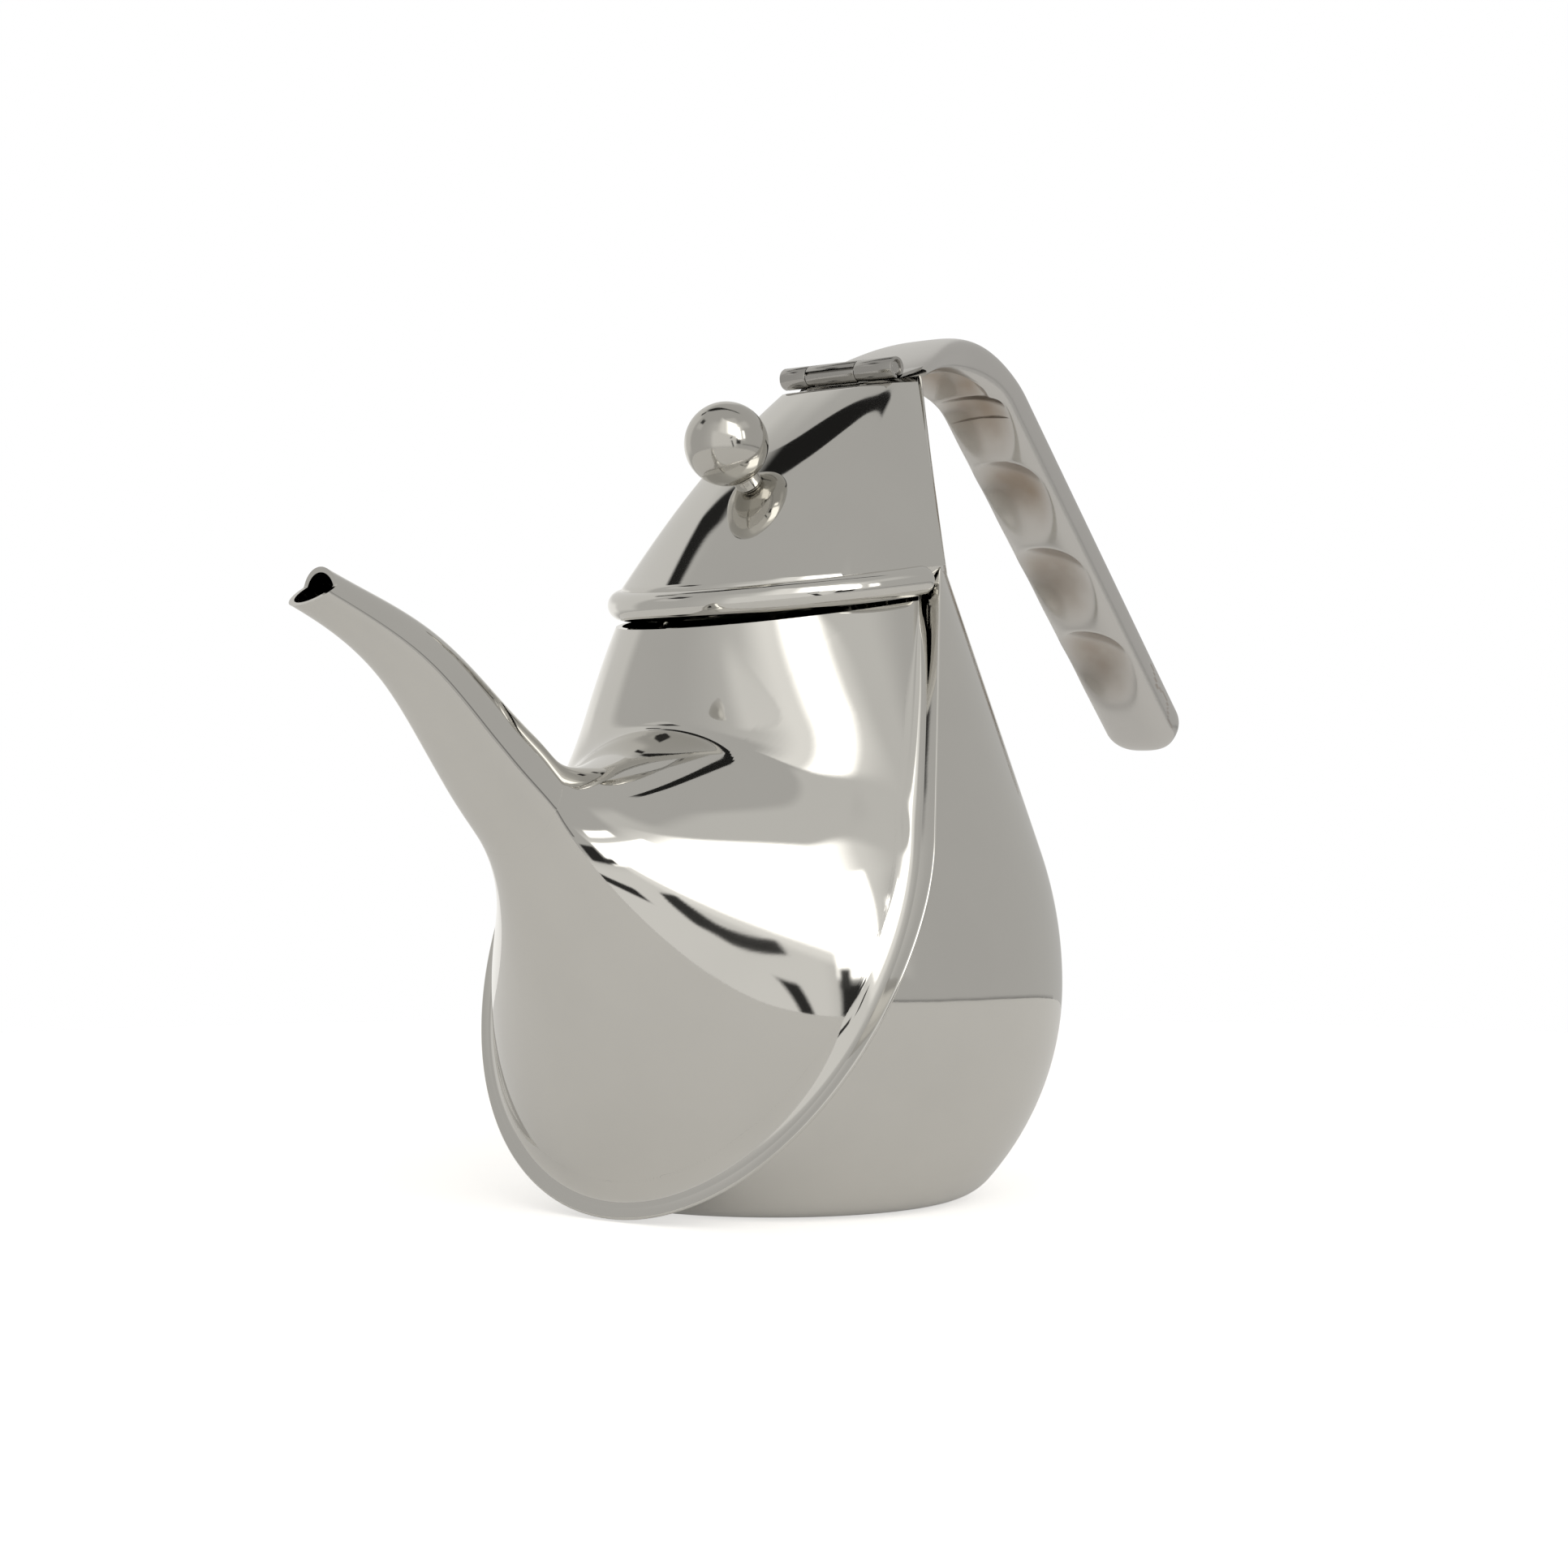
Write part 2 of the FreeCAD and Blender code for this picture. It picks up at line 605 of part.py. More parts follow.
def knuckle(name, low, high, tail_way, tail_length, joined):
    """A rolled tube with its sheet running off along tail_way, up to the piece that it is joined to."""
    tube = bind(add("Part::Cylinder", name + "_tube", Height=high - low), Radius="knuckle_radius")
    across(tube, low)
    bore = add("Part::Cylinder", name + "_bore", Height=high - low)
    across(bind(bore, Radius="pin_radius + pin_clearance"), low)
    thick = 0.8
    tail = add("Part::Box", name + "_tail", Length=tail_length, Width=high - low, Height=thick)
    turn = FreeCAD.Rotation(tail_way, V(0, 1, 0), tail_way.cross(V(0, 1, 0)), "XYZ")
    side = turn.multVec(V(0, 0, D["knuckle_radius"] - thick))
    tail.Placement = FreeCAD.Placement(HINGE + V(0, low, 0) + side, turn)
    whole = add("Part::Fuse", name + "_whole", Base=tube, Tool=tail)
    return cut(name, whole, bore, joined)


def hinge_parts(bracket):
    low, high, end = D["knuckle_low"], D["knuckle_high"], D["knuckle_end"]
    back = V(-0.93, 0, 0.3).normalize()
    far = knuckle("hinge_far", -end, low - 0.15, back, 9.0, bracket)
    near = knuckle("hinge_near", high + 0.15, end, back, 9.0, bracket)
    middle = knuckle("hinge_middle", low, high, V(0, 0, -1), 4.0, doc.getObject("lid_outside"))
    pin = bind(add("Part::Cylinder", "hinge_pin"), Radius="pin_radius", Height="knuckle_end * 2")
    across(pin, -end)
    return [far, near, middle, pin]


# Handle: a tongue that bends back into a grip pressed in two halves.

GRIP_DOWN = V(-math.cos(math.radians(D["grip_angle"])), 0, -math.sin(math.radians(D["grip_angle"])))
GRIP_OUT = V(GRIP_DOWN.z, 0, -GRIP_DOWN.x)
GRIP_TOP = V(D["grip_x"], 0, D["grip_z"])
GRIP_TURN = FreeCAD.Rotation(GRIP_OUT, V(0, 1, 0), GRIP_DOWN, "ZXY")


def rounded(width, depth, corner):
    """Outline with round corners, in a plane, centred."""
    corner = min(corner, 0.49 * depth, 0.49 * width)
    a, b = width / 2, depth / 2
    marks = [(a - corner, b, a, b - corner), (a, -b + corner, a - corner, -b)]
    marks += [(-p, -q, -r, -s) for p, q, r, s in marks]
    edges = []
    dent = corner * (1 - math.sqrt(0.5))
    for i, (x0, y0, x1, y1) in enumerate(marks):
        mid = V(math.copysign(a - dent, x0 + x1), math.copysign(b - dent, y0 + y1), 0)
        edges.append(Part.Arc(V(x0, y0, 0), mid, V(x1, y1, 0)).toShape())
        after = marks[(i + 1) % 4]
        edges.append(Part.makeLine(V(x1, y1, 0), V(after[0], after[1], 0)))
    return Part.Wire(edges)


def handle_section(name, point, way, width, depth, corner):
    """A rounded section across the handle where it runs along way."""
    section = shaped(name, rounded(width, depth, corner))
    outward = V(0, 1, 0).cross(way)
    section.Placement = FreeCAD.Placement(point, FreeCAD.Rotation(V(0, 1, 0), outward, way, "ZXY"))
    return section


def finger_dents():
    """Four scallops across the inside of the handle; the first reaches up into the bend."""
    second, pitch = D["finger_second"], D["finger_pitch"]
    dents = []
    for i, place in enumerate([D["finger_first"]] + [second + pitch * step for step in range(3)]):
        dent = add("Part::Ellipsoid", "finger_%d" % i)
        bind(dent, Radius1="finger_radius", Radius2="finger_radius", Radius3="finger_reach")
        sunk = D["grip_depth"] / 2 + D["finger_radius"] - D["finger_depth"]
        dent.Placement.Base = GRIP_TOP + GRIP_DOWN * place - GRIP_OUT * sunk
        dents.append(dent)
    return dents


def handle_parts():
    width, depth, corner = D["grip_width"], D["grip_depth"], D["grip_corner"]
    length, taper = D["grip_length"], D["grip_taper"]
    bend = [
        # x, z, width, depth, direction of the handle in degrees above level
        (-30.5, 170.1, 32.4, 2.6, 28),
        (-40.6, 174.0, 28.0, 6.0, 17),
        (-51.6, 176.0, 23.0, 9.6, 4),
        (-63.0, 175.0, 20.0, 11.4, -18),
        (-70.8, 171.6, 19.2, 11.8, -37),
    ]
    sections = []
    for i, (x, z, wide, deep, angle) in enumerate(bend):
        way = V(-math.cos(math.radians(angle)), 0, math.sin(math.radians(angle)))
        sections.append(handle_section("bend_%d" % i, V(x, 0, z), way, wide, deep, corner))
    sections.append(handle_section("bend_end", GRIP_TOP, GRIP_DOWN, width, depth, corner))
    tongue = add("Part::Loft", "tongue", Sections=sections, Solid=True, Ruled=False)
    scoop = add("Part::Ellipsoid", "tongue_scoop", Radius1=5.5, Radius2=15, Radius3=9.5)
    scoop.Placement = FreeCAD.Placement(V(-48, 0, 170.6), FreeCAD.Rotation(V(0, 1, 0), 10))
    scooped = cut("tongue_scooped", tongue, scoop)

    low_end = GRIP_TOP + GRIP_DOWN * length
    ends = [
        handle_section("grip_start", GRIP_TOP, GRIP_DOWN, width, depth, corner),
        handle_section("grip_stop", low_end, GRIP_DOWN, width * taper, depth * taper, corner),
    ]
    bar = add("Part::Loft", "grip_bar", Sections=ends, Solid=True, Ruled=True)
    dents = finger_dents()
    bracket = cut("handle_bracket", scooped, dents[0])
    grip = cut("grip_dented", bar, *dents)
    middle = half_space("grip_outside", GRIP_TOP + GRIP_OUT * 0.5, GRIP_OUT)
    outer = add("Part::Common", "handle_outer", Base=grip, Tool=middle)
    inner = cut("handle_inner", grip, middle)

    cap_length = 8.5
    tips = []
    for name, at in (("cap_start", low_end), ("cap_stop", low_end + GRIP_DOWN * cap_length)):
        tips.append(handle_section(name, at, GRIP_DOWN, width * taper, depth * taper, corner))
    plug = add("Part::Loft", "cap_bar", Sections=tips, Solid=True, Ruled=True)
    doc.recompute()
    tip = low_end + GRIP_DOWN * cap_length
    rim = [e for e in plug.Shape.Edges if abs((e.CenterOfMass - tip).dot(GRIP_DOWN)) < 0.01]
    cap = shaped("handle_cap", plug.Shape.makeFillet(corner - 0.3, rim))
    return [bracket, outer, inner, cap]


handle = handle_parts()
pieces = [rear_shell(), front_shell(), spout(), back_wall(handle[0])]
pieces += lid_parts() + hinge_parts(handle[0]) + handle
doc.recompute()

os.makedirs("parts", exist_ok=True)
for obj in doc.Objects:
    if "Invalid" in obj.State or "Error" in obj.State:
        raise RuntimeError("%s: %s" % (obj.Name, obj.State))
for piece in pieces:
    shape = piece.Shape
    if shape.isNull() or not shape.isValid():
        raise RuntimeError("%s is not a valid solid" % piece.Name)
    piece.Label = piece.Name
    if len(shape.Solids) == 1:
        shape = shape.Solids[0]
    print(piece.Name, len(shape.Solids), round(shape.Volume), [round(v, 1) for v in (
        shape.BoundBox.XMin, shape.BoundBox.XMax, shape.BoundBox.YMin, shape.BoundBox.YMax,
        shape.BoundBox.ZMin, shape.BoundBox.ZMax)])
    shape.exportStep("parts/%s.step" % piece.Name)
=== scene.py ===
import math

import bmesh
import bpy
import numpy as np
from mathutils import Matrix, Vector


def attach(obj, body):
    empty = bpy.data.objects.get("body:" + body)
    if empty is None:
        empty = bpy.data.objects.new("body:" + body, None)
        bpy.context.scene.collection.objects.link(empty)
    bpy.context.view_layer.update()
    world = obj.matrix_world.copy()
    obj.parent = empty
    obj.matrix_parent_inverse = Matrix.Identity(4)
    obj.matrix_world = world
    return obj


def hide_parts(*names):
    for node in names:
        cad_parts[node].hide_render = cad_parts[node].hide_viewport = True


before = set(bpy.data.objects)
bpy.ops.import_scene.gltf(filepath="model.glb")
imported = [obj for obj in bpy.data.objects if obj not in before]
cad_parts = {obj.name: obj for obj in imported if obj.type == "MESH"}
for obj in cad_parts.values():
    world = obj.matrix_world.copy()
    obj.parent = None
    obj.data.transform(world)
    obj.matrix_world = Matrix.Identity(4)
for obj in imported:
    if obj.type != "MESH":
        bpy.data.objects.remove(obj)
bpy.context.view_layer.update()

# Sizes are in millimetres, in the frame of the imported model: +Z up, +X toward the spout.
MM = 0.001
GAUGE = 0.9
SHARP = math.radians(38)
MERGE = 0.001 * MM
ACROSS = np.array([0.0, 1.0, 0.0])


def direction(degrees):
    """Unit vector in the kettle's middle plane, turned up from +X."""
    return np.array([math.cos(math.radians(degrees)), 0.0, math.sin(math.radians(degrees))])


def unit(vectors):
    return vectors / np.maximum(np.linalg.norm(vectors, axis=-1, keepdims=True), 1e-12)


def ease(s):
    s = np.clip(s, 0.0, 1.0)
    return s * s * (3 - 2 * s)


def bezier(values, s):
    a, b, c, d = values
    r = 1 - s
    return a * r ** 3 + 3 * b * r * r * s + 3 * c * r * s * s + d * s ** 3


def soft_max(a, b, width):
    """The larger of two fields, rounded where they cross without a step in curvature."""
    blend = 1.5 * width
    share = np.maximum(blend - np.abs(a - b), 0.0) / blend
    return np.maximum(a, b) + blend / 6 * share ** 3


def spline(marks, values, slopes):
    """A smooth curve through values at marks, with the two end slopes given, as a function."""
    marks, values = np.asarray(marks, float), np.asarray(values, float)
    count = len(marks)
    gaps = np.diff(marks)
    matrix = np.eye(count)
    right = np.zeros((count,) + values.shape[1:])
    right[0], right[-1] = slopes
    for i in range(1, count - 1):
        matrix[i, i - 1:i + 2] = 1 / gaps[i - 1], 2 / gaps[i - 1] + 2 / gaps[i], 1 / gaps[i]
        steps = np.diff(values, axis=0)
        right[i] = 3 * (steps[i - 1] / gaps[i - 1] ** 2 + steps[i] / gaps[i] ** 2)
    tangents = np.linalg.solve(matrix, right)

    def at(t):
        t = np.asarray(t, float)
        i = np.clip(np.searchsorted(marks, t) - 1, 0, count - 2)
        gap = gaps[i]
        s = (t - marks[i]) / gap
        shape = s.shape + (1,) * (values.ndim - 1)
        s, gap = s.reshape(shape), gap.reshape(shape)
        low, high = values[i], values[i + 1]
        leave, arrive = tangents[i] * gap, tangents[i + 1] * gap
        bend = s * s * (3 - 2 * s)
        return low + (high - low) * bend + leave * s * (1 - s) ** 2 - arrive * s * s * (1 - s)

    return at


# Mesh building. A part is a pair: its points, and its faces as rows of point numbers.


def quads(index):
    return np.stack([index[:-1, :-1], index[:-1, 1:], index[1:, 1:], index[1:, :-1]], -1).reshape(-1, 4)


def grid(points, loop_rows=False, loop_columns=False):
    rows, columns = points.shape[:2]
    index = np.arange(rows * columns).reshape(rows, columns)
    if loop_rows:
        index = np.vstack([index, index[:1]])
    if loop_columns:
        index = np.hstack([index, index[:, :1]])
    return points.reshape(-1, 3), quads(index)


def plate(outside, inside, loop_columns=False):
    """Closed sheet between two grids of the same size."""
    rows = len(outside)
    loop = np.concatenate([outside, inside[::-1]])
    points, faces = grid(loop, True, loop_columns)
    if not loop_columns:
        index = np.arange(points.shape[0]).reshape(2 * rows, -1)
        for column in (0, -1):
            ladder = np.stack([index[:rows, column], index[rows:, column][::-1]])
            faces = np.vstack([faces, quads(ladder)])
    return points, faces


def turned(profile, origin, axis, count):
    """Rings of (radius, height) about an axis, as a grid closed round."""
    axis = unit(np.asarray(axis, float))
    first = unit(np.cross(axis, ACROSS if abs(axis[1]) < 0.9 else direction(0)))
    second = np.cross(axis, first)
    turn = np.linspace(0, 2 * math.pi, count, endpoint=False)
    spoke = np.cos(turn)[:, None] * first + np.sin(turn)[:, None] * second
    profile = np.asarray(profile, float)
    return np.asarray(origin) + profile[:, None, :1] * spoke + profile[:, None, 1:] * axis


def piece(name, body, finish, parts, marks=None):
    """One object made of closed parts. marks gives each point a value that its finish reads."""
    points = np.concatenate([p for p, _ in parts])
    starts = np.cumsum([0] + [len(p) for p, _ in parts])
    faces = np.concatenate([f + s for (_, f), s in zip(parts, starts)])
    mesh = bpy.data.meshes.new(name)
    mesh.from_pydata((points * MM).tolist(), [], faces.tolist())
    if marks is not None:
        layer = mesh.attributes.new("hollow", "FLOAT", "POINT")
        layer.data.foreach_set("value", np.asarray(marks, np.float32))
    solid = bmesh.new()
    solid.from_mesh(mesh)
    bmesh.ops.remove_doubles(solid, verts=solid.verts, dist=MERGE)
    bmesh.ops.dissolve_degenerate(solid, edges=solid.edges, dist=MERGE)
    bmesh.ops.recalc_face_normals(solid, faces=solid.faces)
    solid.to_mesh(mesh)
    solid.free()
    mesh.shade_smooth()
    mesh.set_sharp_from_angle(angle=SHARP)
    mesh.materials.append(finish)
    made = bpy.data.objects.new(name + "_dressed", mesh)
    bpy.context.scene.collection.objects.link(made)
    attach(made, body)
    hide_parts(name)


def round_piece(name, body, finish, rings):
    """One object from a single grid that closes round."""
    piece(name, body, finish, [grid(rings, loop_columns=True)])


# Finishes.


class Shade:
    """A socket in a node tree. Sums and products of these add Math nodes."""

    def __init__(self, tree, socket=None):
        self.tree, self.socket = tree, socket

    def node(self, kind, settings, sockets, out=0):
        made = self.tree.nodes.new(kind)
        for key, value in settings.items():
            setattr(made, key, value)
        for key, value in sockets.items():
            if isinstance(value, Shade):
                self.tree.links.new(value.socket, made.inputs[key])
            else:
                made.inputs[key].default_value = value
        return Shade(self.tree, made.outputs[out] if made.outputs else None)

    def math(self, operation, *values):
        return self.node("ShaderNodeMath", {"operation": operation}, dict(enumerate(values)))

    def step(self, low, high, top=1.0):
        """Eases from 0 at low to top at high."""
        settings = {"interpolation_type": "SMOOTHSTEP"}
        sockets = {"Value": self, "From Min": low, "From Max": high, "To Max": top}
        return self.node("ShaderNodeMapRange", settings, sockets)

    def mix(self, first, second):
        """The colour first where this is 0, second where it is 1."""
        settings = {"data_type": "RGBA"}
        return self.node("ShaderNodeMix", settings, {0: self, 6: first, 7: second}, 2)

    def __add__(self, other):
        return self.math("ADD", self, other)

    def __sub__(self, other):
        return self.math("SUBTRACT", self, other)

    def __rsub__(self, other):
        return self.math("SUBTRACT", other, self)

    def __mul__(self, other):
        return self.math("MULTIPLY", self, other)

    def __abs__(self):
        return self.math("ABSOLUTE", self)

    __radd__, __rmul__ = __add__, __mul__


def grey(level, warm=0.0):
    return (level * (1 + warm), level, level * (1 - 1.6 * warm), 1.0)


# Sizes of the slow waves, the haze and the polishing hairs, then what haze does to colour and roughness.
WAVE_SIZE, HAZE_SIZE, HAIR_SIZE = 16.0, 30.0, 0.5
HAZE_COLOUR, HAZE_ROUGH = 0.97, 0.02
# Brown used as painted shade in the handle's finger dents, and as the colour of the real weld line.
DENT_SHADE_AND_WELD_BROWN = (0.30, 0.22, 0.15, 1.0)


def steel(name, colour, rough, wave, hair, lines, tint=None):
    """Steel with slow waves, polishing hairs along lines and a little haze. tint is painted shade in the
    dents and colours the weld line.
    """
    made = bpy.data.materials.new(name)
    made.use_nodes = True
    tree = made.node_tree
    tree.nodes.clear()
    base = Shade(tree)
    place = base.node("ShaderNodeTexCoord", {}, {}, "Object")

    def noise(size, detail, stretch=(1, 1, 1), seed=0.0):
        moved = {"Vector": place, "Scale": stretch, "Location": (seed,) * 3}
        spread = base.node("ShaderNodeMapping", {}, moved)
        sockets = {"Vector": spread, "Scale": 1 / (size * MM), "Detail": detail}
        return base.node("ShaderNodeTexNoise", {}, sockets, "Fac")

    waves = noise(WAVE_SIZE, detail=1.0)
    haze = noise(HAZE_SIZE, detail=4.0, seed=3.0)
    hairs = noise(HAIR_SIZE, detail=3.0, stretch=lines, seed=9.0)
    height = waves * wave + hairs * hair
    bump = base.node("ShaderNodeBump", {}, {"Height": height, "Strength": 1.0, "Distance": MM})
    shine = haze.step(0.35, 0.75)
    light = shine.mix(colour, tuple(v * HAZE_COLOUR for v in colour[:3]) + (1.0,))
    if tint:
        # Painted shade: tint is mixed in by dent depth, broken up by haze, and also onto the weld line.
        hollow = base.node("ShaderNodeAttribute", {"attribute_name": "hollow"}, {}, "Fac")
        light = (hollow * haze.step(0.2, 0.7)).mix(light, tint)
    sockets = {
        "Base Color": light,
        "Metallic": 1.0,
        "Roughness": rough + HAZE_ROUGH * shine,
        "Normal": bump,
    }
    shader = base.node("ShaderNodeBsdfPrincipled", {}, sockets)
    base.node("ShaderNodeOutputMaterial", {}, {"Surface": shader})
    return made


POLISHED = steel(
    "polished_steel", (0.702, 0.690, 0.658, 1.0), rough=0.035, wave=0.04, hair=0.0007, lines=(0.12, 1, 1))
SATIN = steel(
    "satin_steel", grey(0.65, 0.02), rough=0.20, wave=0.02, hair=0.003, lines=(1, 0.15, 1), tint=DENT_SHADE_AND_WELD_BROWN)
TURNED = steel(
    "turned_steel", grey(0.47, 0.025), rough=0.14, wave=0.0, hair=0.0004, lines=(1, 0.1, 1))
BUFFED = steel(
    "buffed_steel", (0.610, 0.596, 0.560, 1.0), rough=0.11, wave=0.01, hair=0.0006, lines=(1, 0.2, 1))

KETTLE, LID = "kettle", "lid"

# The seam plane leans back. seam(a, b, c) is a to the side, b up the plane and c in front of it.
TILT = 24.75
SEAM_OUT, SEAM_UP = direction(TILT), direction(TILT + 90)
SEAM_FOOT = np.array([49.7, 0.0, 0.0])


def seam(a, b, c):
    a, b, c = np.broadcast_arrays(np.asarray(a, float), b, c)
    return SEAM_FOOT + a[..., None] * ACROSS + b[..., None] * SEAM_UP + c[..., None] * SEAM_OUT


def seam_at_height(height):
    return seam(0, height / SEAM_UP[2], 0)


SEAM_HALF, SEAM_LOW, SEAM_ARC = 55.0, 65.0, 57.0
SIDE = math.radians(15.7)
SIDE_RISE = SEAM_ARC * math.sin(SIDE)
SIDE_START = SEAM_HALF - SEAM_ARC * (1 - math.cos(SIDE))


def outline(b):
    """Half width of the seam flange at b up the seam plane."""
    up = np.asarray(b, float) - SEAM_LOW
    low = SEAM_HALF * np.sqrt(np.maximum(0, 1 - (np.minimum(up, 0) / SEAM_LOW) ** 2))
    middle = SEAM_HALF - SEAM_ARC + np.sqrt(SEAM_ARC ** 2 - np.clip(up, 0, SIDE_RISE) ** 2)
    high = SIDE_START - (up - SIDE_RISE) * math.tan(SIDE)
    return np.where(up < 0, low, np.where(up < SIDE_RISE, middle, high))


RIM_SLOPE, RIM_HEIGHT = 7.2, 127.3
RIM_REAR = seam_at_height(RIM_HEIGHT)
RIM_FORWARD, RIM_UP = direction(-RIM_SLOPE), direction(90 - RIM_SLOPE)

# The bead round the lid's lower edge slopes a little more than the rim.
BEAD_SLOPE, BEAD_DROP, BEAD = 9.3, 2.75, 3.0
BEAD_HALF, BEAD_REACH = 35.3, 38.2
BEAD_REAR = RIM_REAR - SEAM_UP * BEAD_DROP
BEAD_FORWARD, BEAD_UP = direction(-BEAD_SLOPE), direction(90 - BEAD_SLOPE)

# Rear shell: a turned bowl, cut off along the seam plane.

BELLY_HEIGHT, BELLY, LOW_ARC, HIGH_ARC, CORNER = 43.5, 58.6, 60.0, 83.5, 12.0
SHOULDER = math.radians(18.6)
REAR_TOP = 126.7


def rear_profile(inset):
    """(radius, height) from the middle of the base to the rim."""
    dip = math.asin((BELLY_HEIGHT - CORNER) / (LOW_ARC - CORNER))
    base_end = BELLY - LOW_ARC + (LOW_ARC - CORNER) * math.cos(dip)
    seat = np.stack([np.linspace(0, base_end, 9)[:-1], np.full(8, inset)], 1)
    rows = [seat]

    def arc(x, z, radius, start, stop, count):
        turn = np.linspace(start, stop, count)[:-1]
        reach = radius - inset
        rows.append(np.stack([x + reach * np.cos(turn), z + reach * np.sin(turn)], 1))

    arc(base_end, CORNER, CORNER, -math.pi / 2, -dip, 26)
    arc(BELLY - LOW_ARC, BELLY_HEIGHT, LOW_ARC, -dip, 0, 36)
    arc(BELLY - HIGH_ARC, BELLY_HEIGHT, HIGH_ARC, 0, SHOULDER, 24)
    shoulder_way = np.array([math.cos(SHOULDER), math.sin(SHOULDER)])
    start = np.array([BELLY - HIGH_ARC, BELLY_HEIGHT]) + (HIGH_ARC - inset) * shoulder_way
    rise = REAR_TOP - start[1]
    stop = start + np.array([-math.tan(SHOULDER) * rise, rise])
    rows.append(start + (stop - start) * np.linspace(0, 1, 26)[:, None])
    return np.concatenate(rows)


def rear_grid(inset, columns=220):
    profile = rear_profile(inset)
    radius, height = profile[:, 0], profile[:, 1]
    limit = SEAM_FOOT[0] - height * math.tan(math.radians(TILT))
    opened = np.arccos(np.clip(limit / np.maximum(radius, 1e-6), -1, 1))
    share = np.linspace(0, 1, columns)
    turn = opened[:, None] + (2 * math.pi - 2 * opened[:, None]) * share
    high = np.broadcast_to(height[:, None], turn.shape)
    return np.stack([radius[:, None] * np.cos(turn), radius[:, None] * np.sin(turn), high], -1)


def rear_top_radius(inset=0.0):
    return rear_profile(inset)[-1, 0]


piece("rear_shell", KETTLE, POLISHED, [plate(rear_grid(0), rear_grid(GAUGE))])

# Front shell: a trumpet that runs from the seam into the spout, blended into the neck.

ROOT, ROOT_HEIGHT, ROOT_RISE = 56.5, 62.0, 0.349
ROOT_WIDE, ROOT_TALL, ROOT_CORNER = 10.3, 10.6, math.radians(52)
FLANGE, FLANGE_LOW, FLANGE_EDGE = 4.5, 3.6, 0.5

# Half width and half height of the trumpet, as curves from the seam to the spout's root.
TRUMPET_WIDE = (SEAM_HALF - FLANGE, 40.7, 12.4, ROOT_WIDE)
TRUMPET_TALL = (ROOT_HEIGHT - FLANGE_LOW, 45.0, 13.0, ROOT_TALL)


def trumpet_distance(a, b, c):
    s = np.minimum(c / ROOT, 1.0)
    centre = ROOT_HEIGHT - ROOT_RISE * ROOT * s * s * (1 - s)
    wide, tall = bezier(TRUMPET_WIDE, s), bezier(TRUMPET_TALL, s)
    return (np.hypot(a / wide, (b - centre) / tall) - 1) * np.minimum(wide, tall)


# The neck stands out most at its crown and is pinched in at the sides below its waist.
NECK_BEHIND, NECK_FOOT, NECK_LEAST = 25.0, 52.0, 3.0
NECK_BULGE, NECK_CROWN, NECK_FALL = 33.8, 122.0, 125.0
NECK_WAIST, NECK_PINCH = 90.0, 0.006


def neck_distance(a, b, c):
    """The neck is an oval cone whose middle lies behind the seam plane."""
    front = NECK_BEHIND + np.maximum(NECK_LEAST, NECK_BULGE - (b - NECK_CROWN) ** 2 / NECK_FALL)
    pinch = NECK_PINCH * np.maximum(0, NECK_WAIST - b) ** 2
    side = outline(np.maximum(b, SEAM_LOW + 1.0)) - FLANGE - pinch
    wide = np.maximum(NECK_LEAST, side) / np.sqrt(1 - (NECK_BEHIND / front) ** 2)
    oval = (np.hypot(a / wide, (c + NECK_BEHIND) / front) - 1) * np.minimum(wide, front)
    return np.maximum(oval, NECK_FOOT - b)


# The blend of neck and trumpet widens over a run in front of the seam and narrows again past its turn.
BLEND_LEAST, BLEND_ADDED, BLEND_LOSS = 0.5, 8.0, 0.72
BLEND_RUN, BLEND_TURN = 20.0, 10.0


def front_distance(a, b, c):
    """Below zero inside. Neck and trumpet blend least at the flange and at the crotch."""
    trumpet, neck = trumpet_distance(a, b, c), neck_distance(a, b, c)
    narrows = 1 - BLEND_LOSS * ease((c - BLEND_TURN) / BLEND_RUN)
    width = BLEND_LEAST + BLEND_ADDED * ease(c / BLEND_RUN) * narrows
    return -soft_max(-neck, -trumpet, width)


# The front skin is found along rays from a place inside it, spread round the way to the spout's root.
EYE = np.array([0.0, 46.0, 5.0])
ROOT_WAY = unit(np.array([0.0, ROOT_HEIGHT, ROOT]) - EYE)
RAY_SIDE, RAY_UP = np.array([1.0, 0.0, 0.0]), np.array([0.0, ROOT_WAY[2], -ROOT_WAY[1]])
RAY_REACH, RAY_LEAN = 130.0, math.radians(140)

# The neck's top edge lies a gap below the bead and is looked for no farther out than its reach.
NECK_GAP, NECK_REACH = 1.0, 60.0
NECK_TOP = BEAD_REAR - BEAD_UP * (BEAD + NECK_GAP)


def halve(low, high, within, times):
    """Bisection on arrays: the last value that is still within."""
    for _ in range(times):
        middle = (low + high) / 2
        inside = within(middle)
        low, high = np.where(inside, middle, low), np.where(inside, high, middle)
    return low


def front_points(turn, lean, inset):
    """The skin seen from inside: turn goes round the spout, lean tips away from it."""
    turn, lean = (v[..., None] for v in np.broadcast_arrays(turn, lean))
    way = (np.cos(turn) * RAY_SIDE + np.sin(turn) * RAY_UP) * np.sin(lean) + ROOT_WAY * np.cos(lean)

    def within(reach):
        a, b, c = np.moveaxis(EYE + way * reach[..., None], -1, 0)
        return (front_distance(a, b, c) < -inset) & (c < ROOT)

    reach = halve(np.zeros(way.shape[:-1]), np.full(way.shape[:-1], RAY_REACH), within, 24)
    return EYE + way * reach[..., None]


def before_seam(points):
    return points[..., 2] > 0


def at_root(points):
    return points[..., 2] > ROOT - 1e-4


def lean_limit(turn, inset, keeps):
    """The largest lean at each turn whose point on the skin is still one that keeps allows."""

    def within(lean):
        return keeps(front_points(turn, lean, inset))

    return halve(np.zeros(turn.shape), np.full(turn.shape, RAY_LEAN), within, 22)


